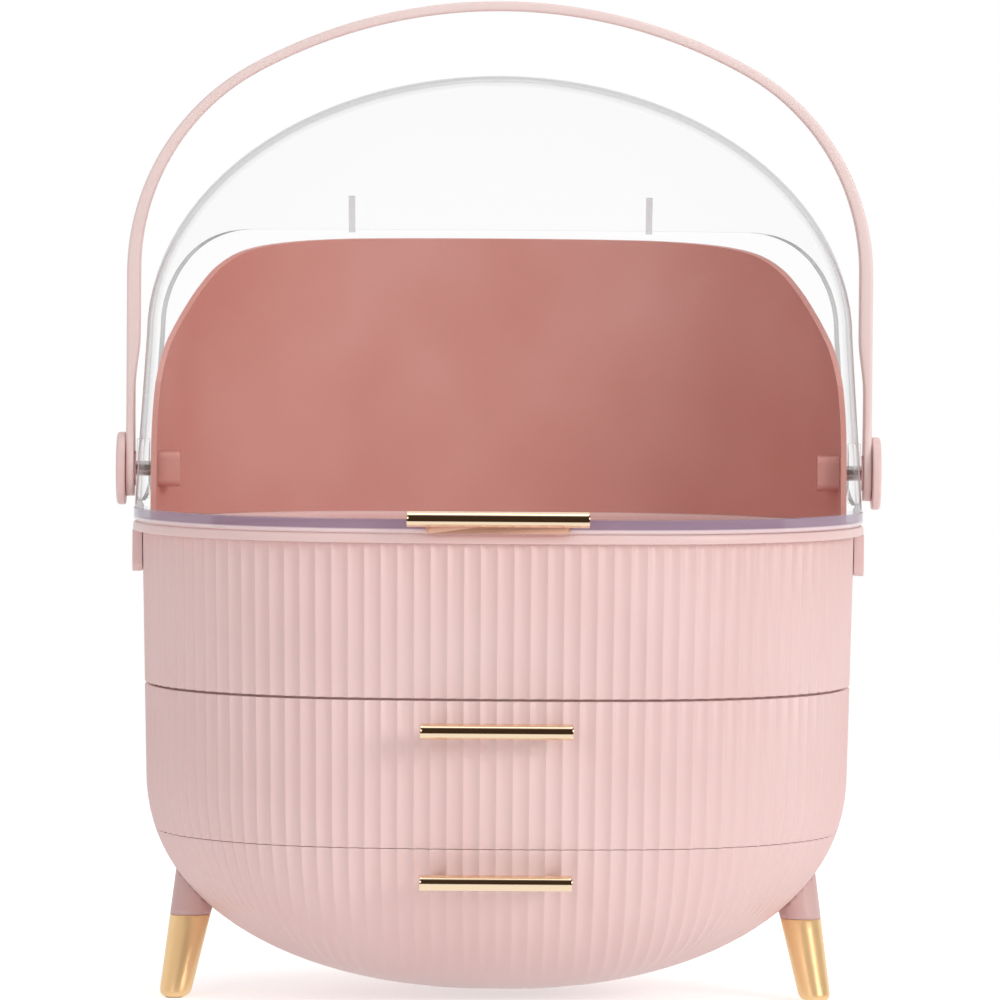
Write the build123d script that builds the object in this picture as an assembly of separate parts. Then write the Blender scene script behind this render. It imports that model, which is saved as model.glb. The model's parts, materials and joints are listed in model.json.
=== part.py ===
from build123d import *
import math
import os

# Makeup storage case with a swinging hoop handle: an oval fluted body with two
# drawers, an open top tray, a pink back wall and a clear domed lid that turns
# about the same side pins as the handle.
# Millimetres, +Z up, front towards -Y, X to the right.

# ---- overall outline ----
rim_half_width = 145.0
rim_half_depth = 103.0
end_radius = 100.0
foot_z = 0.0

# ---- body heights ----
bowl_bottom_z = 5.5
lower_seam_z = 66.0
upper_seam_z = 124.0
seam_gap = 1.0
tray_top_z = 184.5
collar_height = 5.1
tray_floor_z = 150.0
tray_floor_thickness = 3.0

# ---- body side profile ----
body_top_half_width = 141.4
bowl_edge_half_width = 139.4
bowl_edge_z = 90.0
bowl_depth = 86.0
bowl_power = 2.2
section_gap = 0.6
bowl_sections = 9

# ---- flutes and walls ----
flute_count = 122
flute_depth = 1.1
body_wall = 2.3
bowl_floor_lift = 2.2
collar_inset = 9.0
split_y = -12.0

# ---- running clearances ----
seat_gap = 0.1
pin_clearance = 0.05
slide_clearance = 0.25
shelf_gap = 0.5

# ---- pivot shared by lid and handle ----
pivot_y = 15.0
pivot_z = 208.0
pin_radius = 3.0
block_height = 14.0
block_inner_x = 127.0

# ---- back wall ----
wall_half_width = 138.3
wall_curve_z = 215.0
wall_curve_height = 190.0
wall_thickness = 2.2
wall_top_z = 297.0
wall_front_y = 0.0
# free edge from the pivot, as (Y, Z): just behind the path of the opening lid
wall_edge_offsets = [
    (-11.0, 35.0),
    (-0.5, 48.0),
    (8.5, 56.0),
    (16.5, 64.0),
    (24.0, 72.0),
    (32.5, 80.0),
    (45.0, 86.0),
]

# ---- lid ----
lid_bottom_gap = 0.4
lid_rim_half_width = 144.8
lid_shoulder_half_width = 140.0
lid_shoulder_z = 262.0
lid_dome_height = 103.3
lid_thickness = 1.8
lid_lip_height = 4.0
lid_lip_depth = 1.2
lid_ear_radius = 13.0
lid_boss_radius = 12.0
lid_boss_inner_x = 139.3
lid_boss_outer_x = 144.3
lid_rear_gap = 5.0
lid_dome_sections = 8
lid_dome_last_angle = 82.0
lid_rib_spacing = 118.0
lid_rib_width = 2.6
lid_rib_depth = 6.0
lid_rib_height = 15.0

# ---- handle ----
washer_thickness = 0.8
washer_radius = 7.0
strap_thickness = 3.2
hoop_side_thickness = 5.2
hoop_top_thickness = 3.8
hoop_slim_z = 240.0
hoop_full_z = 262.0
strap_width = 13.0
strap_end_radius = 11.0
hoop_top_z = 395.0
hoop_top_radius = 205.0
hoop_corner_radius = 95.0
knob_radius = 14.5
knob_thickness = 3.5
knob_gap = 0.2
knob_edge = 1.0

# ---- side tabs under the rim ----
tab_height = 16.5
tab_width = 16.0
tab_half_width = 145.0

# ---- drawers ----
drawer_travel = 60.0
drawer_wall = 2.0
upper_box_half_width = 106.0
upper_box_back_y = 62.0
upper_box_floor_z = 70.0
upper_lip_z = 112.0
lower_box_half_width = 92.0
lower_box_back_y = 50.0
lower_box_floor_z = 15.0
lower_lip_z = 56.0
lip_width = 4.0
lip_height = 2.0
back_wall_rise = 6.0
runner_below = 4.0
runner_above = 6.0
box_bowl_inset = 1.8
shelf_thickness = 2.4
stop_width = 8.0
stop_depth = 6.0
stop_offset_x = 60.0
post_offset_x = 80.0
post_offset_y = 45.0
post_radius = 5.0

# ---- bar pulls ----
drawer_pull_length = 61.0
drawer_pull_height = 6.8
lid_pull_length = 73.0
lid_pull_height = 5.6
pull_bar_depth = 5.6
pull_round = 2.6
pull_stand_off = 9.0
pull_post_radius = 2.6
pull_post_offset = 22.0
upper_pull_z = 112.0
lower_pull_z = 53.0
lid_base_length = 59.0
lid_base_height = 8.0
lid_base_depth = 5.0
screw_radius = 1.5
screw_head_radius = 3.4
screw_head_height = 1.8
screw_length = 8.0

# ---- legs ----
leg_top_radius = 9.4
leg_foot_radius = 6.0
leg_top_z = 56.0
ferrule_top_z = 32.0
ferrule_wall = 1.0
ferrule_bottom_z = 2.0
pad_radius = 5.2
side_leg_top = (117.0, 3.0)
side_leg_foot = (127.0, -20.0)
rear_leg_top = (26.0, 80.0)
rear_leg_foot = (34.0, 96.0)
leg_spigot_radius = 3.0

# ---- worked-out places ----
depth_ratio = rim_half_depth / rim_half_width
end_ratio = end_radius / rim_half_width
skin = body_wall + flute_depth
collar_top_z = tray_top_z + collar_height
tray_bottom_z = upper_seam_z + seam_gap / 2
shell_top_z = upper_seam_z - seam_gap / 2
front_back_y = split_y - seam_gap / 2
lid_bottom_z = collar_top_z + lid_bottom_gap
strap_inner_x = lid_boss_outer_x + washer_thickness + 2 * seat_gap
strap_outer_x = strap_inner_x + strap_thickness
knob_inner_x = strap_outer_x + knob_gap
knob_outer_x = knob_inner_x + knob_thickness
lid_front_y = -lid_rim_half_width * depth_ratio
lid_pull_front_y = lid_front_y - lid_base_depth - pull_bar_depth
ferrule_skin = ferrule_wall + pin_clearance

far = 400.0


def oval_sizes(half_width, inset):
    """Half width, half depth and end radius of the oval, moved in by inset."""
    a = half_width - inset
    b = half_width * depth_ratio - inset
    r = half_width * end_ratio - inset
    return a, b, r


def side_radius(a, b, r):
    """Radius of the flat front and back arcs that meet the end arcs smoothly."""
    return ((a - r) ** 2 + b ** 2 - r ** 2) / (2 * (b - r))


def oval_wire(half_width, z, inset=0.0):
    """Closed oval of four tangent arcs at height z."""
    a, b, r = oval_sizes(half_width, inset)
    big = side_radius(a, b, r)
    turn = math.degrees(math.atan2(big - b, a - r))
    right = CenterArc((a - r, 0), r, -turn, 2 * turn)
    back = CenterArc((0, b - big), big, turn, 180 - 2 * turn)
    left = CenterArc((r - a, 0), r, 180 - turn, 2 * turn)
    front = CenterArc((0, big - b), big, 180 + turn, 180 - 2 * turn)
    return Wire([right, back, left, front]).moved(Location((0, 0, z)))


def oval_point(half_width, inset, share):
    """Point at a share of the way round the oval, from the middle of the front."""
    a, b, r = oval_sizes(half_width, inset)
    big = side_radius(a, b, r)
    turn = math.atan2(big - b, a - r)
    flat = big * (math.pi / 2 - turn)
    quarter = flat + r * turn
    way = (share % 1.0) * 4
    number = int(way)
    along = (way - number) * quarter
    if number % 2 == 1:
        along = quarter - along
    if along < flat:
        angle = along / big
        x, y = big * math.sin(angle), (big - b) - big * math.cos(angle)
    else:
        angle = turn - (along - flat) / r
        x, y = (a - r) + r * math.cos(angle), -r * math.sin(angle)
    if number in (1, 2):
        y = -y
    if number in (2, 3):
        x = -x
    return x, y


def fluted_wire(half_width, z, depth):
    """Closed outline of hollow flutes between sharp ridges that reach half_width."""
    ridges = [oval_point(half_width, 0, i / flute_count) for i in range(flute_count)]
    edges = []
    for i in range(flute_count):
        x0, y0 = ridges[i]
        x1, y1 = ridges[(i + 1) % flute_count]
        length = math.hypot(x1 - x0, y1 - y0)
        in_x, in_y = -(y1 - y0) / length, (x1 - x0) / length
        middle = ((x0 + x1) / 2 + in_x * depth, (y0 + y1) / 2 + in_y * depth)
        edges.append(ThreePointArc((x0, y0, z), (middle[0], middle[1], z), (x1, y1, z)))
    return Wire(edges)


def body_half_width(z):
    """Half width of the fluted body at height z."""
    if z >= bowl_edge_z:
        rise = (z - bowl_edge_z) / (tray_top_z - bowl_edge_z)
        return bowl_edge_half_width + rise * (body_top_half_width - bowl_edge_half_width)
    drop = ((bowl_edge_z - z) / bowl_depth) ** bowl_power
    return bowl_edge_half_width * (1 - drop) ** (1 / bowl_power)


def body_heights(low, high):
    """Section heights from low to high, closer together where the bowl curves."""
    last = math.asin(((bowl_edge_z - bowl_bottom_z) / bowl_depth) ** (bowl_power / 2))
    heights = [low]
    for i in range(bowl_sections, -1, -1):
        turn = last * i / bowl_sections
        z = bowl_edge_z - bowl_depth * math.sin(turn) ** (2 / bowl_power)
        if low + section_gap < z < high - section_gap:
            heights.append(z)
    return heights + [high]


def fluted_body(low, high):
    """Solid fluted body between two heights."""
    wires = []
    for z in body_heights(low, high):
        half_width = body_half_width(z)
        share = half_width / bowl_edge_half_width
        wires.append(fluted_wire(half_width, z, flute_depth * min(share, 1.0)))
    return Solid.make_loft(wires, True)


def body_inside(low, high, inset=0.0):
    """Smooth space inside the body wall, moved in further by inset."""
    wires = []
    for z in body_heights(low, high):
        half_width = body_half_width(max(z - bowl_floor_lift - inset, bowl_bottom_z))
        wires.append(oval_wire(half_width, z, skin + inset))
    return Solid.make_loft(wires, True)


def oval_plate(half_width, inset, low, high):
    """Flat oval plate between two heights."""
    face = Face(oval_wire(half_width, low, inset))
    return extrude(face, high - low, dir=(0, 0, 1))


def block(x0, x1, y0, y1, z0, z1):
    """Box between two corners."""
    size = Box(x1 - x0, y1 - y0, z1 - z0)
    return Pos((x0 + x1) / 2, (y0 + y1) / 2, (z0 + z1) / 2) * size


def rod(radius, start, end):
    """Round bar between two points."""
    way = Vector(*end) - Vector(*start)
    plane = Plane(origin=start, z_dir=way)
    return plane * Cylinder(radius, way.length, align=(Align.CENTER, Align.CENTER, Align.MIN))


def cone(start, end, start_radius, end_radius):
    """Tapered round bar between two points."""
    way = Vector(*end) - Vector(*start)
    plane = Plane(origin=start, z_dir=way)
    shape = Cone(start_radius, end_radius, way.length, align=(Align.CENTER, Align.CENTER, Align.MIN))
    return plane * shape


def both_sides(shape):
    """The shape and its mirror image across the middle plane."""
    return [shape, mirror(shape, Plane.YZ)]


def row_shift():
    """Shift along Y that puts the origin midway between front bar and rim back."""
    front = min(lid_pull_front_y, pull_places(upper_pull_z)[2], pull_places(lower_pull_z)[2])
    return -(front + rim_half_depth) / 2


def save(name, shapes):
    """Write one node, moved to the row's origin."""
    if not isinstance(shapes, list):
        shapes = [shapes]
    solids = []
    for shape in shapes:
        solids.extend(shape.solids())
    placed = [solid.moved(Location((0, row_shift(), 0))) for solid in solids]
    result = placed[0] if len(placed) == 1 else Compound(children=placed)
    export_step(result, f"parts/{name}.step")
    print(name, len(placed))


# ---- fixed body ----

def make_upper_tray():
    ring = fluted_body(tray_bottom_z, tray_top_z)
    ring -= body_inside(tray_bottom_z - 1, tray_floor_z)
    return ring - body_inside(tray_floor_z + tray_floor_thickness, tray_top_z + 1)


def make_rim_collar():
    solid = oval_plate(rim_half_width, 0, tray_top_z, collar_top_z)
    solid = fillet(solid.edges().group_by(Axis.Z)[-1], 1.0)
    return solid - oval_plate(rim_half_width, collar_inset, tray_top_z - 1, collar_top_z + 1)


def make_rear_shell():
    shell = fluted_body(bowl_bottom_z, shell_top_z)
    shell -= body_inside(bowl_bottom_z + bowl_floor_lift, shell_top_z + 1)
    shell -= block(-far, far, -far, split_y, 0, far)
    low, high = lower_seam_z - seam_gap / 2, lower_seam_z + seam_gap / 2
    groove = block(-far, far, split_y, far, low, high)
    groove -= oval_plate(body_half_width(lower_seam_z), 2 * flute_depth, low, high)
    shell -= groove
    for top, foot in leg_lines():
        shell -= rod(leg_spigot_radius + pin_clearance, foot, top)
    return shell


def make_deck():
    top = tray_bottom_z
    half_width = body_half_width(shell_top_z)
    return oval_plate(half_width, skin + shelf_gap, top - shelf_thickness, top)


def make_deck_posts():
    posts = []
    for x in (-post_offset_x, post_offset_x):
        for y in (-post_offset_y, post_offset_y):
            posts.append(rod(post_radius, (x, y, tray_bottom_z), (x, y, tray_floor_z)))
    return posts


def make_shelf():
    low = lower_seam_z - shelf_thickness / 2
    half_width = body_half_width(low)
    return oval_plate(half_width, skin + shelf_gap + bowl_floor_lift / 2, low, low + shelf_thickness)


def make_runners(half_width, back_y, lip_z):
    low, high = lip_z - runner_below, lip_z + lip_height + runner_above
    inner = half_width + slide_clearance
    rail = block(inner, far, split_y + seam_gap, back_y, low, high)
    rail = rail & body_inside(bowl_bottom_z + bowl_floor_lift, shell_top_z + 1, seat_gap)
    groove_top = lip_z + lip_height + slide_clearance
    rail -= block(0, inner + lip_width, -far, far, lip_z - slide_clearance, groove_top)
    return both_sides(rail)


def make_stops(back_y, lip_z, ceiling_z):
    face_y = back_y - drawer_wall - drawer_travel - slide_clearance
    low = lip_z + lip_height + 1
    stop = block(stop_offset_x, stop_offset_x + stop_width, face_y - stop_depth, face_y, low, ceiling_z)
    return both_sides(stop)


def make_side_tab():
    low, high = tray_top_z - tab_height, tray_top_z
    tab = block(0, tab_half_width, -tab_width / 2, tab_width / 2, low, high)
    tab = fillet(tab.edges().filter_by(Axis.X).group_by(Axis.Z)[0], 4.0)
    return tab - oval_plate(body_half_width(high), -seat_gap, low - 1, high + 1)


# ---- back wall and pivot ----

def wall_width_at(z):
    """Half width of the back wall at height z."""
    if z < wall_curve_z:
        return wall_half_width
    return wall_half_width * math.sqrt(1 - ((z - wall_curve_z) / wall_curve_height) ** 2)


def wall_volume(inset):
    heights = [collar_top_z, wall_curve_z]
    steps = 5
    top = wall_top_z + 5
    heights += [wall_curve_z + (top - wall_curve_z) * (i + 1) / steps for i in range(steps)]
    wires = [oval_wire(wall_width_at(z), z, inset) for z in heights]
    return Solid.make_loft(wires[:2], True) + Solid.make_loft(wires[1:], False)


def wall_side_view():
    """Side view of the back wall: a steep front edge, then a bend to the top."""
    back = rim_half_depth + 10
    edge = [(pivot_y + y, pivot_z + z) for y, z in wall_edge_offsets]
    start = (wall_front_y, collar_top_z)
    end = (back, wall_top_z + 2)
    rise = Line(start, edge[0])
    bend = Spline(*edge, end, tangents=[(1, 2), (1, 0.05)])
    down = Line(end, (back, collar_top_z))
    close = Line((back, collar_top_z), start)
    face = make_face([rise, bend, down, close])
    return extrude(Plane.YZ * face, far, both=True)


def make_back_wall():
    wall = wall_volume(0) - wall_volume(wall_thickness)
    wall = wall & wall_side_view()
    return wall - rod(pin_radius + pin_clearance, (-far, pivot_y, pivot_z), (far, pivot_y, pivot_z))


def make_pivot_block():
    half = block_height / 2
    body = block(block_inner_x, wall_half_width, pivot_y - half, pivot_y + half, pivot_z - half, pivot_z + half)
    body = fillet(body.edges().filter_by(Axis.X), 3.0)
    body = body & wall_volume(wall_thickness + seat_gap)
    hole = rod(pin_radius + pin_clearance, (block_inner_x + 2, pivot_y, pivot_z), (far, pivot_y, pivot_z))
    return body - hole


def make_pivot_pin():
    return rod(pin_radius, (block_inner_x + 2 + seat_gap, pivot_y, pivot_z), (knob_inner_x, pivot_y, pivot_z))


def make_knob():
    knob = rod(knob_radius, (knob_inner_x, pivot_y, pivot_z), (knob_outer_x, pivot_y, pivot_z))
    return fillet(knob.edges().group_by(Axis.X)[-1], knob_edge)


def make_washer():
    start = lid_boss_outer_x + seat_gap
    ring = rod(washer_radius, (start, pivot_y, pivot_z), (start + washer_thickness, pivot_y, pivot_z))
    hole = rod(pin_radius + pin_clearance, (0, pivot_y, pivot_z), (far, pivot_y, pivot_z))
    return ring - hole


# ---- handle ----

def arch_face(half, top, big, small, bottom):
    """Front view of an arch: one large top arc, two corner arcs and straight sides."""
    centre_z = top - big
    side = half - small
    side_z = centre_z + math.sqrt((big - small) ** 2 - side ** 2)
    turn = math.degrees(math.atan2(side_z - centre_z, side))
    right = CenterArc((side, side_z), small, 0, turn)
    arch = CenterArc((0, centre_z), big, turn, 180 - 2 * turn)
    left = CenterArc((-side, side_z), small, 180 - turn, turn)
    sides = Polyline((-half, side_z), (-half, bottom), (half, bottom), (half, side_z))
    return make_face([right, arch, left] + list(sides.edges()))


def hoop_front_view():
    """Front view of the hoop, slimmer where the straps pass the lid's ears."""
    bottom = pivot_z - 2 * strap_end_radius
    outer = arch_face(strap_outer_x, hoop_top_z, hoop_top_radius, hoop_corner_radius, bottom)
    inner_x = strap_outer_x - hoop_side_thickness
    small = hoop_corner_radius - hoop_side_thickness
    top = hoop_top_z - hoop_top_thickness
    inner = arch_face(inner_x, top, hoop_top_radius - hoop_top_thickness, small, hoop_full_z)
    low = bottom - 1
    slim = Polyline((-inner_x, hoop_full_z), (-strap_inner_x, hoop_slim_z), (-strap_inner_x, low),
                    (strap_inner_x, low), (strap_inner_x, hoop_slim_z), (inner_x, hoop_full_z), close=True)
    return outer - inner - make_face(slim.edges())


def strap_side_view():
    """Side view of the hoop: straight straps with a round lower end."""
    half = strap_width / 2
    face = Pos(pivot_y, (pivot_z + hoop_top_z) / 2) * Rectangle(strap_width, hoop_top_z + 10 - pivot_z)
    face += Pos(pivot_y, pivot_z) * Circle(strap_end_radius)
    corners = [v for v in face.vertices() if half - 1 < abs(v.X - pivot_y) < half + 0.01 and v.Y < pivot_z + 20]
    if corners:
        face = fillet(corners, 8.0)
    return extrude(Plane.YZ * face, far, both=True)


def make_handle():
    ring = extrude(Plane.XZ * hoop_front_view(), far, both=True)
    hoop = ring & strap_side_view()
    return hoop - rod(pin_radius + pin_clearance, (-far, pivot_y, pivot_z), (far, pivot_y, pivot_z))


# ---- lid ----

def lid_volume(inset, low):
    """Lid from height low up, moved in by inset: a plain lower part and a dome."""
    slope = (lid_rim_half_width - lid_shoulder_half_width) / (lid_shoulder_z - lid_bottom_z)
    low_width = lid_shoulder_half_width + slope * (lid_shoulder_z - low)
    sides = [oval_wire(low_width, low, inset)]
    sides.append(oval_wire(lid_shoulder_half_width, lid_shoulder_z, inset))
    dome = []
    for i in range(lid_dome_sections + 1):
        angle = math.radians(lid_dome_last_angle * i / lid_dome_sections)
        z = lid_shoulder_z + (lid_dome_height - inset) * math.sin(angle)
        width = lid_shoulder_half_width * math.cos(angle)
        dome.append(oval_wire(width, z, inset * math.cos(angle)))
    return Solid.make_loft(sides, True) + Solid.make_loft(dome, False)


def lid_rear_cut():
    """Side view of what the lid leaves open behind and below its ears."""
    low = collar_top_z - 10
    front_y = pivot_y - lid_ear_radius / 2
    ear_low_y = front_y + 2
    drop = math.sqrt(lid_ear_radius ** 2 - (pivot_y - ear_low_y) ** 2)
    ear_start = (ear_low_y, pivot_z - drop)
    ear_end = (pivot_y + lid_ear_radius, pivot_z)
    ear_middle = (pivot_y + lid_ear_radius * math.cos(math.radians(45)),
                  pivot_z - lid_ear_radius * math.sin(math.radians(45)))
    edge_y, edge_z = pivot_y + lid_ear_radius, wall_top_z - 26
    back = rim_half_depth + 20
    top_z = wall_top_z + lid_rear_gap
    lines = [
        Line((front_y, low), (front_y, lid_bottom_z + 1)),
        Line((front_y, lid_bottom_z + 1), ear_start),
        ThreePointArc(ear_start, ear_middle, ear_end),
        Line(ear_end, (edge_y, edge_z)),
        ThreePointArc((edge_y, edge_z), (edge_y + 10, edge_z + 19), (edge_y + 34, top_z)),
        Line((edge_y + 34, top_z), (back, top_z)),
        Line((back, top_z), (back, low)),
        Line((back, low), (front_y, low)),
    ]
    return extrude(Plane.YZ * make_face(lines), far, both=True)


def make_lid_shell():
    shell = lid_volume(0, lid_bottom_z) - lid_volume(lid_thickness, lid_bottom_z - 1)
    lip = oval_plate(lid_rim_half_width, 0, lid_bottom_z, lid_bottom_z + lid_lip_height)
    lip = lip & lid_volume(0, lid_bottom_z)
    lip -= oval_plate(lid_rim_half_width, lid_thickness + lid_lip_depth, lid_bottom_z - 1, far)
    shell = (shell + lip) - lid_rear_cut()
    boss = rod(lid_boss_radius, (lid_boss_inner_x, pivot_y, pivot_z), (lid_boss_outer_x, pivot_y, pivot_z))
    for side in both_sides(boss):
        shell += side
    return shell - rod(pin_radius + pin_clearance, (-far, pivot_y, pivot_z), (far, pivot_y, pivot_z))


def make_lid_ribs():
    top_z = wall_top_z + lid_rear_gap
    x0 = lid_rib_spacing / 2
    rib = block(x0, x0 + lid_rib_width, 0, rim_half_depth, top_z, top_z + lid_rib_height)
    rib = rib & lid_volume(lid_thickness + seat_gap, lid_bottom_z)
    low = lid_volume(lid_thickness + seat_gap + lid_rib_depth, lid_bottom_z)
    return both_sides(rib - low)


# ---- pulls ----

def pull_bar(length, height, front_y, z):
    bar = block(-length / 2, length / 2, front_y, front_y + pull_bar_depth, z - height / 2, z + height / 2)
    return fillet(bar.edges(), min(pull_round, height / 2 - 0.1))


def body_front_y(z, x):
    """Depth of the ridges between the flutes at height z and distance x from the middle."""
    a, b, r = oval_sizes(body_half_width(z), 0)
    big = side_radius(a, b, r)
    return (big - b) - math.sqrt(big ** 2 - x ** 2)


def pull_places(z):
    """Surface, inner face and front of the bar for the drawer pull at height z."""
    outer = body_front_y(z, pull_post_offset)
    inner = body_front_y(z - bowl_floor_lift, pull_post_offset) + skin
    front = body_front_y(z, 0) - pull_stand_off - pull_bar_depth
    return outer, inner, front


def make_drawer_pull(z):
    outer, inner, front = pull_places(z)
    pull = pull_bar(drawer_pull_length, drawer_pull_height, front, z)
    for x in (-pull_post_offset, pull_post_offset):
        pull += rod(pull_post_radius, (x, front + pull_bar_depth / 2, z), (x, outer + 1.5 * flute_depth, z))
        pull -= rod(screw_radius + pin_clearance, (x, outer - screw_length + skin, z), (x, far, z))
    return pull


def make_pull_screws(z):
    outer, inner, front = pull_places(z)
    screws = []
    for x in (-pull_post_offset, pull_post_offset):
        shaft = rod(screw_radius, (x, inner - screw_length + 1, z), (x, inner + seat_gap, z))
        head = rod(screw_head_radius, (x, inner + seat_gap, z), (x, inner + seat_gap + screw_head_height, z))
        screws.append(shaft + head)
    return screws


def screw_holes(z, shape):
    """Cut the post seats and screw holes of the pull at height z."""
    outer, inner, front = pull_places(z)
    for x in (-pull_post_offset, pull_post_offset):
        seat_y = outer + 1.5 * flute_depth + seat_gap
        shape -= rod(pull_post_radius + pin_clearance, (x, -far, z), (x, seat_y, z))
        shape -= rod(screw_radius + pin_clearance, (x, -far, z), (x, inner + 5, z))
        shape -= rod(screw_head_radius + seat_gap, (x, inner, z), (x, inner + 3 * screw_head_height, z))
    return shape


def lid_pull_height_z():
    return lid_bottom_z + lid_base_height - lid_pull_height / 2 - 0.5


def make_lid_pull():
    return pull_bar(lid_pull_length, lid_pull_height, lid_pull_front_y, lid_pull_height_z())


def make_lid_pull_base():
    low, high = lid_bottom_z + 0.2, lid_bottom_z + lid_base_height
    half = lid_base_length / 2
    base = block(-half, half, lid_front_y - lid_base_depth, lid_front_y + 6, low, high)
    base = fillet(base.edges().filter_by(Axis.Y), 2.0)
    base -= lid_volume(-pin_clearance, lid_bottom_z - 1)
    return base


# ---- drawers ----

def make_drawer_front(low, high, pull_z):
    front = fluted_body(low, high)
    start = low + bowl_floor_lift if low == bowl_bottom_z else low - 1
    front -= body_inside(start, high + 1)
    front -= block(-far, far, front_back_y, far, 0, far)
    return screw_holes(pull_z, front)


def make_drawer_box(half_width, back_y, floor_z, lip_z):
    top = lip_z + lip_height
    rear_top = top + back_wall_rise - 1
    outer = block(-half_width, half_width, -far, back_y, floor_z, rear_top)
    outer = outer & body_inside(floor_z - 1, rear_top + 1, box_bowl_inset)
    room = half_width - drawer_wall
    inner = block(-room, room, -far, back_y - drawer_wall, floor_z + drawer_wall, far)
    inner = inner & body_inside(floor_z, far / 2, box_bowl_inset + drawer_wall)
    box = outer - inner
    box -= block(-far, far, -far, back_y - drawer_wall, top, far)
    lips = block(half_width - 1, half_width + lip_width, split_y, back_y, lip_z, top)
    for lip in both_sides(lips):
        box += lip
    return box


def make_drawer_box_with_holes(half_width, back_y, floor_z, lip_z, pull_z):
    box = make_drawer_box(half_width, back_y, floor_z, lip_z)
    for x in (-pull_post_offset, pull_post_offset):
        box -= rod(screw_head_radius + 0.6, (x, -far, pull_z), (x, -60, pull_z))
    return box


# ---- legs ----

def leg_lines():
    """Top and foot points of each leg's axis, right then left, side pair first."""
    lines = []
    for top, foot in ((side_leg_top, side_leg_foot), (rear_leg_top, rear_leg_foot)):
        for side in (1, -1):
            start = (side * top[0], top[1], leg_top_z)
            lines.append((start, (side * foot[0], foot[1], foot_z)))
    return lines


def on_leg(line, z):
    """Point of the leg's axis at height z."""
    top, foot = line
    share = (z - foot[2]) / (top[2] - foot[2])
    return tuple(f + share * (t - f) for t, f in zip(top, foot))


def leg_radius(z):
    return leg_foot_radius + (leg_top_radius - leg_foot_radius) * z / leg_top_z


def leg_cone(line, low, high, inset):
    """Tapered leg between two heights, with level ends."""
    start, end = on_leg(line, low - 8), on_leg(line, high + 8)
    shape = cone(start, end, leg_radius(low - 8) - inset, leg_radius(high + 8) - inset)
    return shape & block(-far, far, -far, far, low, high)


def make_leg(line):
    leg = leg_cone(line, ferrule_bottom_z + 1, leg_top_z, ferrule_skin)
    leg = (leg & block(-far, far, -far, far, 0, ferrule_top_z)) + leg_cone(line, ferrule_top_z, leg_top_z, 0)
    wires = [oval_wire(body_half_width(z), z, -seat_gap) for z in body_heights(bowl_bottom_z, shell_top_z)]
    leg -= Solid.make_loft(wires, True)
    spigot = rod(leg_spigot_radius, on_leg(line, ferrule_top_z), on_leg(line, leg_top_z - 6))
    return leg + spigot


def make_ferrule(line):
    cup = leg_cone(line, ferrule_bottom_z, ferrule_top_z - seat_gap, 0)
    return cup - leg_cone(line, ferrule_bottom_z + 1 - seat_gap, ferrule_top_z, ferrule_wall)


def make_foot_pads():
    pads = []
    for line in leg_lines():
        x, y, z = on_leg(line, 0)
        pads.append(rod(pad_radius, (x, y, 0), (x, y, ferrule_bottom_z)))
    return pads


def main():
    os.makedirs("parts", exist_ok=True)
    upper_low, upper_high = lower_seam_z + seam_gap / 2, shell_top_z
    lower_high = lower_seam_z - seam_gap / 2
    save("upper_tray", make_upper_tray())
    save("rim_collar", make_rim_collar())
    save("rear_shell", make_rear_shell())
    save("deck_plate", make_deck())
    save("deck_posts", make_deck_posts())
    save("drawer_shelf", make_shelf())
    save("upper_runners", make_runners(upper_box_half_width, upper_box_back_y, upper_lip_z))
    save("lower_runners", make_runners(lower_box_half_width, lower_box_back_y, lower_lip_z))
    save("upper_stops", make_stops(upper_box_back_y, upper_lip_z, tray_bottom_z - shelf_thickness))
    save("lower_stops", make_stops(lower_box_back_y, lower_lip_z, lower_seam_z - shelf_thickness / 2))
    save("back_wall", make_back_wall())
    for side, shape in zip(("right", "left"), both_sides(make_side_tab())):
        save(f"side_tab_{side}", shape)
    for side, shape in zip(("right", "left"), both_sides(make_pivot_block())):
        save(f"pivot_block_{side}", shape)
    for side, shape in zip(("right", "left"), both_sides(make_pivot_pin())):
        save(f"pivot_pin_{side}", shape)
    for side, shape in zip(("right", "left"), both_sides(make_knob())):
        save(f"knob_{side}", shape)
    save("pivot_washers", both_sides(make_washer()))
    save("handle_hoop", make_handle())
    save("lid_shell", make_lid_shell())
    save("lid_ribs", make_lid_ribs())
    save("lid_pull", make_lid_pull())
    save("lid_pull_base", make_lid_pull_base())
    save("upper_drawer_front", make_drawer_front(upper_low, upper_high, upper_pull_z))
    save("lower_drawer_front", make_drawer_front(bowl_bottom_z, lower_high, lower_pull_z))
    save("upper_drawer_box", make_drawer_box_with_holes(
        upper_box_half_width, upper_box_back_y, upper_box_floor_z, upper_lip_z, upper_pull_z))
    save("lower_drawer_box", make_drawer_box_with_holes(
        lower_box_half_width, lower_box_back_y, lower_box_floor_z, lower_lip_z, lower_pull_z))
    for name, z in (("upper", upper_pull_z), ("lower", lower_pull_z)):
        save(f"{name}_drawer_pull", make_drawer_pull(z))
        save(f"{name}_pull_screws", make_pull_screws(z))
    names = ("side_right", "side_left", "rear_right", "rear_left")
    for name, line in zip(names, leg_lines()):
        save(f"leg_{name}", make_leg(line))
        save(f"ferrule_{name}", make_ferrule(line))
    save("foot_pads", make_foot_pads())


if __name__ == "__main__":
    main()
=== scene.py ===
"""Looks of the makeup storage case with handle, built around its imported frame.

The case is an oval fluted body with two curved drawers, an open tray under a
clear domed lid, a pink back wall and a hoop handle. Every piece is modelled in
metres in the frame's own place; sizes in the classes are millimetres.
"""

from __future__ import annotations

import itertools
import json
import logging
import math
from contextlib import contextmanager
from dataclasses import dataclass
from enum import Enum
from typing import Callable, Iterable, Iterator

import bmesh
import bpy
import numpy as np
from mathutils import Matrix, Vector

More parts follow.
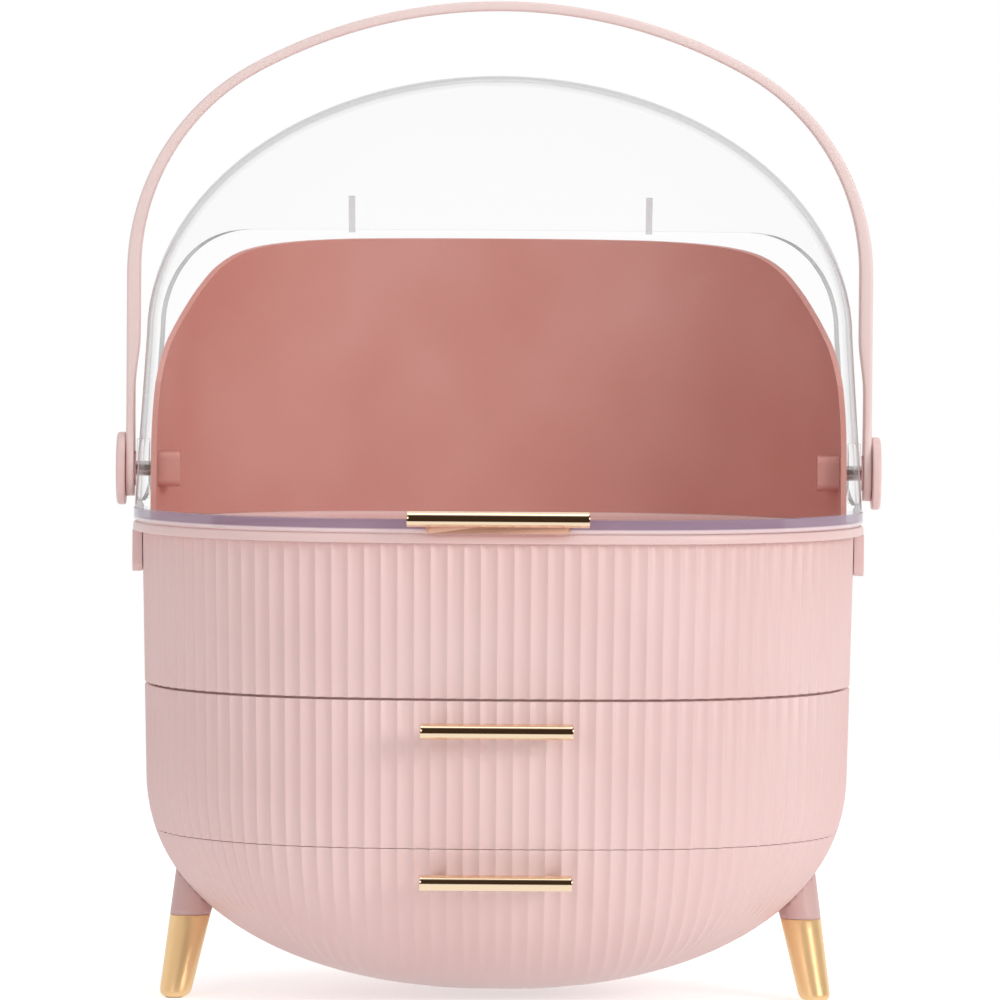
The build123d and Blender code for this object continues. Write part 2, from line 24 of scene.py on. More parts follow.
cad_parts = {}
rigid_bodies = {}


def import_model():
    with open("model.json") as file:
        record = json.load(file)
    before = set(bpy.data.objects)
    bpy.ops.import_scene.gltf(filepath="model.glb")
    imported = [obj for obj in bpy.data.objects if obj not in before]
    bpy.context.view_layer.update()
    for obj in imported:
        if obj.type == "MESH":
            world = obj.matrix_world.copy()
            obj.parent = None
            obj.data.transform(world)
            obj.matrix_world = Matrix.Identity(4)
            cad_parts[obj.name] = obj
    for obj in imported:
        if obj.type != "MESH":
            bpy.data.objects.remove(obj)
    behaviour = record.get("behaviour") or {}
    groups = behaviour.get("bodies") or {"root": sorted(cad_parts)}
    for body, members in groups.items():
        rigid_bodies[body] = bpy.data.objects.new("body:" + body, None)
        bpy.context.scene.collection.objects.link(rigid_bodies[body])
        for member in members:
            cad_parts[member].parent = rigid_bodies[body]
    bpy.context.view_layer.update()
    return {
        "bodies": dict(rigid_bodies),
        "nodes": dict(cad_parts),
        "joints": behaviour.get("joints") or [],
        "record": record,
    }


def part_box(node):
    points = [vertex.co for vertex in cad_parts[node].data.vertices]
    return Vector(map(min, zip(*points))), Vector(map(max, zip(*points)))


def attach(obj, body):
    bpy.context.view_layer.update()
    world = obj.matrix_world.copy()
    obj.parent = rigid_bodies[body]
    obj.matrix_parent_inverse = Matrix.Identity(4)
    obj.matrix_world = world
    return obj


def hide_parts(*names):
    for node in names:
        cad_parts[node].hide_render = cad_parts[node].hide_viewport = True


LOG = logging.getLogger("makeup_case")
MM = 0.001


class Body(Enum):
    """The rigid bodies of the frame that a piece can ride on."""

    CASE = "case"
    LID = "lid"
    HANDLE = "handle"
    UPPER_DRAWER = "drawer_upper"
    LOWER_DRAWER = "drawer_lower"


# ---- colours and node helpers ----


def linear(hex_colour: str, alpha: float = 1.0) -> tuple[float, float, float, float]:
    """Turn an sRGB hex colour into the linear values that a shader takes.

    Args:
        hex_colour: Six hex digits, with or without a leading hash.
        alpha: Opacity that goes with the colour.

    Returns:
        Linear red, green, blue and alpha.
    """
    digits = hex_colour.lstrip("#")
    values = []
    for start in (0, 2, 4):
        share = int(digits[start:start + 2], 16) / 255
        values.append(share / 12.92 if share <= 0.04045 else ((share + 0.055) / 1.055) ** 2.4)
    return values[0], values[1], values[2], alpha


def add_node(tree: bpy.types.NodeTree, kind: str, inputs: dict | None = None, **settings) -> bpy.types.Node:
    """Add a node with its settings, and fill or link its inputs.

    Args:
        tree: Node tree that gets the node.
        kind: Blender's name of the node type.
        inputs: Input name or number to a value, or to an output socket to link.
        settings: Properties of the node itself.

    Returns:
        The new node.
    """
    node = tree.nodes.new(kind)
    for name, value in settings.items():
        setattr(node, name, value)
    for name, value in (inputs or {}).items():
        socket = node.inputs[name]
        if isinstance(value, bpy.types.NodeSocket):
            tree.links.new(value, socket)
        else:
            socket.default_value = value
    return node


def new_material(name: str) -> tuple[bpy.types.Material, bpy.types.NodeTree, bpy.types.NodeSocket]:
    """Make an empty node material.

    Args:
        name: Name of the real material.

    Returns:
        The material, its node tree and the place on the piece, in metres.
    """
    material = bpy.data.materials.new(name)
    material.use_nodes = True
    tree = material.node_tree
    tree.nodes.clear()
    return material, tree, add_node(tree, "ShaderNodeTexCoord").outputs["Object"]


def fill_ramp(ramp: bpy.types.Node, stops: list[tuple[float, tuple]]) -> None:
    """Set a colour ramp's stops, given in order."""
    elements = ramp.color_ramp.elements
    elements[0].position, elements[0].color = stops[0]
    elements[1].position, elements[1].color = stops[-1]
    for spot, colour in stops[1:-1]:
        elements.new(spot).color = colour


# ---- finishes ----


@dataclass(frozen=True)
class MouldedPlastic:
    """Injection-moulded ABS with a fine satin texture from the mould.

    The real grain is finer than a tenth of a millimetre. It is drawn 0.9 mm wide, so that it shows.
    """

    name: str
    base: str
    shade: str
    roughness: float = 0.42
    rough_spread: float = 0.05
    grain_mm: float = 0.9
    cloud_mm: float = 70.0
    grain_depth_mm: float = 0.008
    grain_strength: float = 0.35
    subsurface: float = 0.08
    glow_mm: float = 4.0
    glow_reach: tuple[float, float, float] = (1.0, 0.45, 0.4)

    def build(self) -> bpy.types.Material:
        """Make the material: even colour with faint flow clouds, a fine grain and a little glow within."""
        material, tree, place = new_material(self.name)
        cloud = add_node(tree, "ShaderNodeTexNoise", {
            "Vector": place, "Scale": 1 / (self.cloud_mm * MM), "Detail": 2.0})
        colour = add_node(tree, "ShaderNodeValToRGB", {"Fac": cloud.outputs["Fac"]})
        fill_ramp(colour, [(0.3, linear(self.shade)), (0.7, linear(self.base))])
        grain = add_node(tree, "ShaderNodeTexNoise", {
            "Vector": place, "Scale": 1 / (self.grain_mm * MM), "Detail": 3.0})
        rough = add_node(tree, "ShaderNodeMapRange", {
            "Value": grain.outputs["Fac"], "To Min": self.roughness - self.rough_spread,
            "To Max": self.roughness + self.rough_spread})
        bump = add_node(tree, "ShaderNodeBump", {
            "Height": grain.outputs["Fac"], "Strength": self.grain_strength,
            "Distance": self.grain_depth_mm * MM})
        shader = add_node(tree, "ShaderNodeBsdfPrincipled", {
            "Base Color": colour.outputs["Color"], "Roughness": rough.outputs["Result"],
            "Normal": bump.outputs["Normal"], "IOR": 1.5, "Subsurface Weight": self.subsurface,
            "Subsurface Scale": self.glow_mm * MM, "Subsurface Radius": self.glow_reach})
        add_node(tree, "ShaderNodeOutputMaterial", {"Surface": shader.outputs[0]})
        return material


@dataclass(frozen=True)
class ThinClearPlastic:
    """Thin polished polystyrene: unseen face on, a grey line where it is seen edge on.

    The lip is thicker. It is tinted from the height of its painted highlight up to lip_top_z, heights in
    millimetres: mauve as painted refraction of the pink collar behind it, and pale as a painted highlight at
    its foot.
    """

    name: str
    edge: str = "#A09FA4"
    face_alpha: float = 0.012
    edge_alpha: float = 0.9
    # Mauve painted refraction of the pink collar seen through the lip; empty for a shell without a lip.
    lip: str = ""
    # Pale painted highlight along the lip's foot.
    lip_foot_highlight: str = "#F4DEE1"
    lip_alpha: float = 0.86
    lip_top_z: float = 193.9
    # Height up to which the painted highlight runs before the mauve starts.
    lip_highlight_z: float = 190.0
    wave_mm: float = 1000 / 18
    wave_depth_mm: float = 0.4

    def build(self) -> bpy.types.Material:
        """Make the material: a clear shell, with a tinted lip where its colour is named."""
        material, tree, place = new_material(self.name)
        wave = add_node(tree, "ShaderNodeTexNoise", {
            "Vector": place, "Scale": 1 / (self.wave_mm * MM), "Detail": 1.0})
        bump = add_node(tree, "ShaderNodeBump", {
            "Height": wave.outputs["Fac"], "Strength": 0.1, "Distance": self.wave_depth_mm * MM})
        facing = add_node(tree, "ShaderNodeLayerWeight", {"Blend": 0.5})
        ramp = add_node(tree, "ShaderNodeValToRGB", {"Fac": facing.outputs["Facing"]})
        stops = ((0.0, self.face_alpha), (0.76, self.face_alpha * 2), (0.85, 0.55 * self.edge_alpha),
                 (0.9, self.edge_alpha))
        fill_ramp(ramp, [(spot, (value, value, value, 1.0)) for spot, value in stops])
        alpha = ramp.outputs["Color"]
        shader = add_node(tree, "ShaderNodeBsdfPrincipled", {
            "Base Color": linear(self.edge), "Roughness": 0.03, "IOR": 1.59,
            "Normal": bump.outputs["Normal"]})
        if self.lip:
            alpha = self._add_lip(tree, place, shader, alpha)
        tree.links.new(alpha, shader.inputs["Alpha"])
        add_node(tree, "ShaderNodeOutputMaterial", {"Surface": shader.outputs[0]})
        return material

    def _add_lip(self, tree: bpy.types.NodeTree, place: bpy.types.NodeSocket, shader: bpy.types.Node,
                 alpha: bpy.types.NodeSocket) -> bpy.types.NodeSocket:
        """Tint the thick lip, whose foot gathers light, with a painted highlight at its foot and mauve
        painted refraction above it, and return the new alpha.
        """
        split = add_node(tree, "ShaderNodeSeparateXYZ", {0: place})
        height = add_node(tree, "ShaderNodeMapRange", {
            "Value": split.outputs["Z"], "From Min": (self.lip_highlight_z - 1) * MM,
            "From Max": (self.lip_top_z + 1) * MM})
        reach = self.lip_top_z - self.lip_highlight_z + 2  # millimetres that the height's 0 to 1 spans
        tone = add_node(tree, "ShaderNodeValToRGB", {"Fac": height.outputs["Result"]})
        # Painted highlight at the foot, mauve painted refraction above it and the grey edge at the top.
        fill_ramp(tone, [(0.7 / reach, linear(self.lip_foot_highlight)), (1.3 / reach, linear(self.lip)),
                         (1 - 1.3 / reach, linear(self.lip)), (1 - 0.7 / reach, linear(self.edge))])
        tree.links.new(tone.outputs["Color"], shader.inputs["Base Color"])
        solid = add_node(tree, "ShaderNodeMapRange", {
            "Value": height.outputs["Result"], "From Min": 1 - 1.4 / reach, "From Max": 1 - 0.6 / reach,
            "To Min": self.lip_alpha, "To Max": 0.0})
        both = add_node(tree, "ShaderNodeMath", {0: alpha, 1: solid.outputs["Result"]}, operation="MAXIMUM")
        return both.outputs[0]


@dataclass(frozen=True)
class PlatedMetal:
    """Plating or metallic paint: a mirror or a satin sheen with a faint uneven haze."""

    name: str
    base: str
    roughness: float = 0.1
    metallic: float = 1.0
    haze_mm: float = 6.0
    haze_low: float = 0.7
    haze_high: float = 1.5

    def build(self) -> bpy.types.Material:
        """Make the material: metal with slightly uneven gloss."""
        material, tree, place = new_material(self.name)
        haze = add_node(tree, "ShaderNodeTexNoise", {
            "Vector": place, "Scale": 1 / (self.haze_mm * MM), "Detail": 3.0})
        rough = add_node(tree, "ShaderNodeMapRange", {
            "Value": haze.outputs["Fac"], "To Min": self.roughness * self.haze_low,
            "To Max": self.roughness * self.haze_high})
        shader = add_node(tree, "ShaderNodeBsdfPrincipled", {
            "Base Color": linear(self.base), "Roughness": rough.outputs["Result"],
            "Metallic": self.metallic})
        add_node(tree, "ShaderNodeOutputMaterial", {"Surface": shader.outputs[0]})
        return material


@dataclass(frozen=True)
class SoftRubber:
    """Moulded rubber with a dull fine texture."""

    name: str
    base: str
    grain_mm: float = 0.8
    grain_depth_mm: float = 0.05

    def build(self) -> bpy.types.Material:
        """Make the material: dull and slightly bumpy."""
        material, tree, place = new_material(self.name)
        grain = add_node(tree, "ShaderNodeTexNoise", {"Vector": place, "Scale": 1 / (self.grain_mm * MM)})
        bump = add_node(tree, "ShaderNodeBump", {
            "Height": grain.outputs["Fac"], "Strength": 0.3, "Distance": self.grain_depth_mm * MM})
        shader = add_node(tree, "ShaderNodeBsdfPrincipled", {
            "Base Color": linear(self.base), "Roughness": 0.75, "Normal": bump.outputs["Normal"]})
        add_node(tree, "ShaderNodeOutputMaterial", {"Surface": shader.outputs[0]})
        return material


class Finishes:
    """Every finish on the case, built once."""

    def __init__(self) -> None:
        """Build the materials."""
        # Satin moulded ABS: soft broad highlights without a mirror image.
        self.pink = MouldedPlastic("moulded_abs_pale_pink", "#F0D1CE", "#ECCAC7", roughness=0.36).build()
        # The same plastic on the thin hoop, which lets no light wander inside it.
        self.frame_pink = MouldedPlastic("moulded_abs_handle_pink", "#F4DDD9", "#F0D7D3",
                                         subsurface=0.0).build()
        # Duller legs, coloured a deeper pink than the body as painted shade from the body above them.
        self.leg_pink_painted_shade = MouldedPlastic("moulded_abs_leg_pink", "#DDBAB7", "#D8B2AF").build()
        # Pink ABS inside the lid, deepened to salmon partly as its own colour and partly as painted warm
        # bounce light between pale walls.
        self.inner_pink_and_painted_bounce = MouldedPlastic("moulded_abs_inner_pink", "#DEA79E", "#D5958A", roughness=0.4).build()
        # Moulded and polished polystyrene: clear, with grey outlines and a lip tinted mauve as painted
        # refraction of the pink collar, over a painted highlight at its foot.
        self.clear = ThinClearPlastic("clear_polystyrene_shell", lip="#9C869D").build()
        # Inner face of the shell: a fainter second outline.
        self.clear_inside = ThinClearPlastic(
            "clear_polystyrene_inner_face", face_alpha=0.008, edge_alpha=0.3).build()
        # Thicker rib, which reads light grey from every side.
        self.clear_rib = ThinClearPlastic("clear_polystyrene_rib", face_alpha=0.22, edge="#B9B8BC").build()
        # Edge of the lid's opening, which shows as a darker grey line.
        self.clear_cut = ThinClearPlastic(
            "clear_polystyrene_edge_of_opening", face_alpha=0.5, edge="#8F8E93").build()
        # Polished plating: a pale gold mirror with crisp dark and cream bands.
        self.gold = PlatedMetal("polished_champagne_gold_plate", "#F7DFC0").build()
        # Metallic paint on plastic: a warm satin sheen without a mirror image.
        self.rose_gold = PlatedMetal("satin_rose_gold_paint", "#EDB79E", roughness=0.34,
                                     metallic=0.55).build()
        self.satin_gold = PlatedMetal("satin_gold_paint", "#FFD79E", roughness=0.3, metallic=0.42).build()
        # Zinc plating on screws and pins: grey with a blurred sheen.
        self.steel = PlatedMetal("zinc_plated_steel", "#C9C9C6", roughness=0.28).build()
        # Moulded rubber: dull and slightly bumpy.
        self.rubber = SoftRubber("foot_rubber", "#A08F80").build()


# ---- mesh helpers ----


def set_sharp(mesh: bpy.types.Mesh, degrees: float) -> None:
    """Shade a mesh smooth, with edges sharper than the angle left crisp."""
    mesh.polygons.foreach_set("use_smooth", [True] * len(mesh.polygons))
    mesh.set_sharp_from_angle(angle=math.radians(degrees))
    mesh.update()


def to_object(name: str, mesh: bpy.types.Mesh) -> bpy.types.Object:
    """Put a mesh in the scene as an object at the origin."""
    piece = bpy.data.objects.new(name, mesh)
    bpy.context.scene.collection.objects.link(piece)
    return piece


def mesh_from(name: str, points: Iterable, faces: list) -> bpy.types.Mesh:
    """Make a mesh from points in metres and faces."""
    mesh = bpy.data.meshes.new(name)
    mesh.from_pydata([tuple(p) for p in points], [], faces)
    mesh.update()
    return mesh


@contextmanager
def edited(mesh: bpy.types.Mesh) -> Iterator[bmesh.types.BMesh]:
    """Open a mesh for editing and write it back at the end."""
    bm = bmesh.new()
    bm.from_mesh(mesh)
    yield bm
    bm.to_mesh(mesh)
    bm.free()


def seal(mesh: bpy.types.Mesh) -> None:
    """Merge a mesh's doubles and turn its faces outwards."""
    with edited(mesh) as bm:
        bmesh.ops.remove_doubles(bm, verts=bm.verts, dist=1e-6)
        bmesh.ops.dissolve_degenerate(bm, dist=1e-7, edges=bm.edges)
        bmesh.ops.recalc_face_normals(bm, faces=bm.faces)


def sealed(name: str, points: Iterable, faces: list) -> bpy.types.Object:
    """Object with a sealed mesh from points in metres and faces."""
    mesh = mesh_from(name, points, faces)
    seal(mesh)
    return to_object(name, mesh)


def skin_rings(name: str, rings: list[list[tuple[float, float, float]]]) -> bpy.types.Object:
    """Closed skin over a row of rings.

    Args:
        name: Name of the object.
        rings: Points of each ring in metres; a ring of one point closes an end.

    Returns:
        The object, with a face over each open end.
    """
    starts = np.cumsum([0] + [len(ring) for ring in rings])
    numbers = [list(range(starts[i], starts[i + 1])) for i in range(len(rings))]
    faces = [ring for ring in (numbers[0], numbers[-1]) if len(ring) > 1]
    for first, second in zip(numbers, numbers[1:]):
        count = max(len(first), len(second))
        for i in range(count):
            k = (i + 1) % count
            corners = [first[i % len(first)], first[k % len(first)],
                       second[k % len(second)], second[i % len(second)]]
            faces.append(list(dict.fromkeys(corners)))
    return sealed(name, [point for ring in rings for point in ring], faces)


def bake_modifiers(piece: bpy.types.Object) -> None:
    """Turn a piece with modifiers into a plain mesh and drop the modifiers."""
    bpy.context.view_layer.update()
    graph = bpy.context.evaluated_depsgraph_get()
    mesh = bpy.data.meshes.new_from_object(piece.evaluated_get(graph))
    piece.modifiers.clear()
    piece.data = mesh


def publish(piece: bpy.types.Object, body: Body, material: bpy.types.Material,
            nodes: Iterable[str] = ()) -> bpy.types.Object:
    """Dress a finished piece and tell the frame what it rides on and stands for.

    Args:
        piece: The finished object.
        body: Body that it moves with.
        material: Its finish.
        nodes: CAD nodes that it stands for.

    Returns:
        The same object.
    """
    if not piece.data.materials:
        piece.data.materials.append(material)
    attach(piece, body.value)
    names = list(nodes)
    if names:
        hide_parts(*names)
    LOG.info("%s rides on %s and stands for %s", piece.name, body.value, ", ".join(names) or "nothing")
    return piece


# ---- the oval that every main piece follows ----


@dataclass(frozen=True)
class Row:
    """One ring of a swept skin: its size, its height and how much it is fluted."""

    half_width: float
    z: float
    inset: float = 0.0
    flute: float = 0.0


@dataclass(frozen=True)
class CaseSizes:
    """Driving sizes shared by the pieces, in millimetres, before the row's shift."""

    rim_half_width: float = 145.0
    rim_half_depth: float = 103.0
    end_radius: float = 100.0
    bowl_bottom_z: float = 4.2
    bowl_edge_z: float = 90.0
    bowl_edge_half_width: float = 139.4
    bowl_depth: float = 86.9
    bowl_power: float = 2.2
    body_top_half_width: float = 141.4
    lower_seam_z: float = 66.0
    upper_seam_z: float = 124.0
    seam_gap: float = 0.9
    lower_seam_gap: float = 0.2
    tray_top_z: float = 184.5
    collar_height: float = 3.6
    tray_floor_z: float = 150.0
    tray_floor_thickness: float = 3.0
    flute_count: int = 122
    flute_depth: float = 1.3
    fall_step: float = 1.2
    fall_turn_start: float = 0.55
    fall_turn_span: float = 0.35
    fall_turn_least: float = 0.3
    fall_least: float = 0.2
    body_wall: float = 2.1
    bowl_floor_lift: float = 2.2
    collar_inset: float = 9.0
    split_y: float = -12.0
    pivot_y: float = 15.0
    pivot_z: float = 208.0

    def shift_y(self) -> float:
        """Shift of the row's origin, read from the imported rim."""
        low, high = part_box("rim_collar")
        return (low.y + high.y) / 2 / MM

    def radii(self, half_width: float, inset: float) -> tuple[float, float, float, float, float]:
        """Half width, half depth, end radius, side radius and the angle where the arcs meet."""
        a = half_width - inset
        b = half_width * self.rim_half_depth / self.rim_half_width - inset
        r = half_width * self.end_radius / self.rim_half_width - inset
        big = ((a - r) ** 2 + b ** 2 - r ** 2) / (2 * (b - r))
        return a, b, r, big, math.atan2(big - b, a - r)

    def nearest(self, points: np.ndarray, half_width: float) -> tuple[np.ndarray, np.ndarray]:
        """Nearest points of an oval to the given ones, with its outward directions there."""
        a, b, r, big, turn = self.radii(half_width, 0.0)
        sign = np.where(points < 0, -1.0, 1.0)
        x, y = np.abs(points[:, 0]), np.abs(points[:, 1])
        at_end = np.arctan2(y, x - (a - r)) < turn
        from_x, from_y = np.where(at_end, a - r, 0.0), np.where(at_end, 0.0, b - big)
        radius = np.where(at_end, r, big)
        way_x, way_y = x - from_x, y - from_y
        length = np.hypot(way_x, way_y)
        way_x, way_y = way_x / length, way_y / length
        found = np.column_stack([from_x + radius * way_x, from_y + radius * way_y]) * sign
        return found, np.column_stack([way_x, way_y]) * sign

    def flute_lines(self, half_width: float, way: np.ndarray) -> tuple[np.ndarray, np.ndarray, np.ndarray]:
        """Where the flutes cross one ring of the body, falling straight down the bowl.

        Args:
            half_width: Half width of the ring.
            way: Shares of the way round at the bowl's edge.

        Returns:
            Points, outward directions and the share of their full spacing that is left.
        """
        def spacing() -> np.ndarray:
            """Distance between the neighbours one flute away on either side."""
            flute = len(way) // self.flute_count
            return np.linalg.norm(np.roll(points, -flute, axis=0) - np.roll(points, flute, axis=0), axis=1)

        start = max(half_width, self.bowl_edge_half_width)
        points, normals = self.oval(start, 0.0, way)
        full = spacing()
        steps = math.ceil((start - half_width) / self.fall_step)
        for width in np.linspace(start, half_width, steps + 1)[1:]:
            on_ring, _ = self.nearest(points, width)
            drop = np.linalg.norm(points - on_ring, axis=1)
            # Lines at the front and rear fall almost straight down, those at the ends turn inwards.
            turned = np.clip((np.abs(normals[:, 0]) - self.fall_turn_start) / self.fall_turn_span, 0.0, 1.0)
            inwards = self.fall_turn_least + (1 - self.fall_turn_least) * turned
            way_in = -np.column_stack([normals[:, 0] * inwards, normals[:, 1]])
            fall = np.maximum(-(way_in * normals).sum(axis=1), self.fall_least)
            points, normals = self.nearest(points + way_in * (drop / fall)[:, None], width)
        return points, normals, np.clip(spacing() / full, 0.0, 1.0)

    def oval(self, half_width: float, inset: float, way: np.ndarray) -> tuple[np.ndarray, np.ndarray]:
        """Points and outward directions of the oval.

        Args:
            half_width: Half width of the oval before the inset.
            inset: Distance that the outline is moved in.
            way: Shares of the way round, from the middle of the front.

        Returns:
            Points and unit normals, each with a row per share.
        """
        a, b, r, big, turn = self.radii(half_width, inset)
        flat = big * (math.pi / 2 - turn)
        quarter = flat + r * turn
        spot = np.mod(way, 1.0) * 4
        number = np.minimum(spot.astype(int), 3)
        along = (spot - number) * quarter
        along = np.where(number % 2 == 1, quarter - along, along)
        on_flat = along < flat
        flat_angle = along / big
        end_angle = turn - (along - flat) / r
        nx = np.where(on_flat, np.sin(flat_angle), np.cos(end_angle))
        ny = np.where(on_flat, -np.cos(flat_angle), -np.sin(end_angle))
        x = np.where(on_flat, big * nx, (a - r) + r * nx)
        y = np.where(on_flat, (big - b) + big * ny, r * ny)
        flip_y = np.where((number == 1) | (number == 2), -1.0, 1.0)
        flip_x = np.where(number >= 2, -1.0, 1.0)
        points = np.stack([x * flip_x, y * flip_y], axis=1)
        normals = np.stack([nx * flip_x, ny * flip_y], axis=1)
        return points, normals

    def body_half_width(self, z: float) -> float:
        """Half width over the flute tips at height z."""
        if z >= self.bowl_edge_z:
            rise = (z - self.bowl_edge_z) / (self.tray_top_z - self.bowl_edge_z)
            return self.bowl_edge_half_width + rise * (self.body_top_half_width - self.bowl_edge_half_width)
        drop = ((self.bowl_edge_z - z) / self.bowl_depth) ** self.bowl_power
        return self.bowl_edge_half_width * (1 - drop) ** (1 / self.bowl_power)

    def bowl_heights(self, low: float, high: float, count: int) -> list[float]:
        """Heights from low to high, closer together where the bowl curves."""
        deepest = (self.bowl_edge_z - self.bowl_bottom_z) / self.bowl_depth
        last = math.asin(deepest ** (self.bowl_power / 2))
        heights = [low]
        for i in range(count, -1, -1):
            turn = last * i / count
            z = self.bowl_edge_z - self.bowl_depth * math.sin(turn) ** (2 / self.bowl_power)
            if low + 0.6 < z < high - 0.6:
                heights.append(z)
        return heights + [high]


SIZES = CaseSizes()


def sweep_oval(name: str, rows: list[Row], way: np.ndarray, closed: bool = True,
               gaps: Iterable[int] = ()) -> bpy.types.Mesh:
    """Sweep a profile round the oval into a skin of quads.

    Args:
        name: Name of the mesh.
        rows: Rings in order: up the outside, then down the inside.
        way: Share of the way round of each point in a ring.
        closed: Whether the last ring joins the first.
        gaps: Numbers of the rings that are not joined to the next one.

    Returns:
        A mesh in metres with the attributes that the flutes need.
    """
    columns = len(way)
    shift = SIZES.shift_y()
    points, normals, weights = [], [], []
    for row in rows:
        if row.flute > 0:
            flat, out, share = SIZES.flute_lines(row.half_width, way)
            flat = flat - out * row.inset
        else:
            flat, out = SIZES.oval(row.half_width, row.inset, way)
            share = np.zeros(columns)
        height = np.full(columns, row.z)
        points.append(np.column_stack([flat[:, 0], flat[:, 1] + shift, height]) * MM)
        normals.append(np.column_stack([out, np.zeros(columns)]))
        weights.append(share * row.flute)
    faces = []
    for j in sorted(set(range(len(rows) if closed else len(rows) - 1)) - set(gaps)):
        low, high = j * columns, ((j + 1) % len(rows)) * columns
        for i in range(columns):
            k = (i + 1) % columns
            faces.append((low + i, low + k, high + k, high + i))
    mesh = mesh_from(name, np.concatenate(points), faces)
    mesh.attributes.new("outward", "FLOAT_VECTOR", "POINT").data.foreach_set(
        "vector", np.concatenate(normals).ravel())
    for name, values in (("fluted", np.concatenate(weights)), ("way_round", np.tile(way, len(rows)))):
        mesh.attributes.new(name, "FLOAT", "POINT").data.foreach_set("value", values)
    return mesh


def even_way(columns: int) -> np.ndarray:
    """Evenly spaced shares of the way round."""
    return np.arange(columns) / columns


def cap_ring(mesh: bpy.types.Mesh, ring: int, columns: int) -> None:
    """Close one ring of a swept skin with a flat face."""
    with edited(mesh) as bm:
        bm.verts.ensure_lookup_table()
        bm.faces.new([bm.verts[ring * columns + i] for i in range(columns)])


def cut_with_plane(mesh: bpy.types.Mesh, y: float, keep_front: bool) -> None:
    """Cut a closed skin with an upright plane and close the cut.

    Args:
        mesh: Mesh to change.
        y: Depth of the plane in metres.
        keep_front: Keep what lies in front of the plane, else what lies behind.
    """
    direction = Vector((0, 1, 0)) if keep_front else Vector((0, -1, 0))
    with edited(mesh) as bm:
        geometry = list(bm.verts) + list(bm.edges) + list(bm.faces)
        found = bmesh.ops.bisect_plane(bm, geom=geometry, plane_co=Vector((0, y, 0)), plane_no=direction,
                                       clear_outer=True, dist=1e-7)
        edges = [e for e in found["geom_cut"] if isinstance(e, bmesh.types.BMEdge)]
        bmesh.ops.triangle_fill(bm, edges=edges, use_beauty=True, use_dissolve=False, normal=direction)
        bmesh.ops.recalc_face_normals(bm, faces=bm.faces)


def flute_tree() -> bpy.types.NodeTree:
    """Geometry Nodes that press hollow flutes into a swept skin, with soft ridges between them.

    Returns:
        A tree with the inputs Flutes, Depth, Ridge Softness and Finish.
    """
    tree = bpy.data.node_groups.new("press_flutes", "GeometryNodeTree")
    tree.interface.new_socket("Geometry", in_out="INPUT", socket_type="NodeSocketGeometry")
    for name in ("Flutes", "Depth", "Ridge Softness"):
        tree.interface.new_socket(name, in_out="INPUT", socket_type="NodeSocketFloat")
    tree.interface.new_socket("Finish", in_out="INPUT", socket_type="NodeSocketMaterial")
    tree.interface.new_socket("Geometry", in_out="OUTPUT", socket_type="NodeSocketGeometry")
    given = add_node(tree, "NodeGroupInput")
    way = add_node(tree, "GeometryNodeInputNamedAttribute", {"Name": "way_round"}, data_type="FLOAT")
    weight = add_node(tree, "GeometryNodeInputNamedAttribute", {"Name": "fluted"}, data_type="FLOAT")
    outward = add_node(tree, "GeometryNodeInputNamedAttribute", {"Name": "outward"}, data_type="FLOAT_VECTOR")
    turns = add_node(tree, "ShaderNodeMath", {0: way.outputs[0], 1: given.outputs["Flutes"]},
                     operation="MULTIPLY")
    phase = add_node(tree, "ShaderNodeMath", {0: turns.outputs[0]}, operation="FRACT")
    rest = add_node(tree, "ShaderNodeMath", {0: 1.0, 1: phase.outputs[0]}, operation="SUBTRACT")
    hollow = add_node(tree, "ShaderNodeMath", {0: phase.outputs[0], 1: rest.outputs[0]},
                      operation="MULTIPLY")
    full = add_node(tree, "ShaderNodeMath", {0: hollow.outputs[0], 1: -4.0}, operation="MULTIPLY")
    soft = add_node(tree, "ShaderNodeMath", {0: 0.0, 1: given.outputs["Ridge Softness"]},
                    operation="SUBTRACT")
    eased = add_node(tree, "ShaderNodeMath", {0: full.outputs[0], 1: soft.outputs[0]}, operation="MINIMUM")
    size = add_node(tree, "ShaderNodeMath", {0: weight.outputs[0], 1: given.outputs["Depth"]},
                    operation="MULTIPLY")
    pressed = add_node(tree, "ShaderNodeMath", {0: eased.outputs[0], 1: size.outputs[0]},
                       operation="MULTIPLY")
    offset = add_node(tree, "ShaderNodeVectorMath", {0: outward.outputs[0], "Scale": pressed.outputs[0]},
                      operation="SCALE")
    moved = add_node(tree, "GeometryNodeSetPosition", {
        "Geometry": given.outputs["Geometry"], "Offset": offset.outputs["Vector"]})
    real = add_node(tree, "GeometryNodeRealizeInstances", {"Geometry": moved.outputs["Geometry"]})
    dressed = add_node(tree, "GeometryNodeSetMaterial", {
        "Geometry": real.outputs["Geometry"], "Material": given.outputs["Finish"]})
    add_node(tree, "NodeGroupOutput", {"Geometry": dressed.outputs["Geometry"]})
    return tree


def apply_tree(piece: bpy.types.Object, tree: bpy.types.NodeTree, values: dict) -> None:
    """Run a Geometry Nodes tree on a piece and keep its result as a plain mesh.

    Args:
        piece: Object that gets the result.
        tree: Tree to run.
        values: Name of each tree input to its value.
    """
    modifier = piece.modifiers.new(tree.name, "NODES")
    modifier.node_group = tree
    for item in tree.interface.items_tree:
        if item.in_out == "INPUT" and item.name in values:
            modifier[item.identifier] = values[item.name]
    bake_modifiers(piece)
    for name in ("outward", "fluted", "way_round"):
        attribute = piece.data.attributes.get(name)
        if attribute:
            piece.data.attributes.remove(attribute)


# ---- fluted body ----


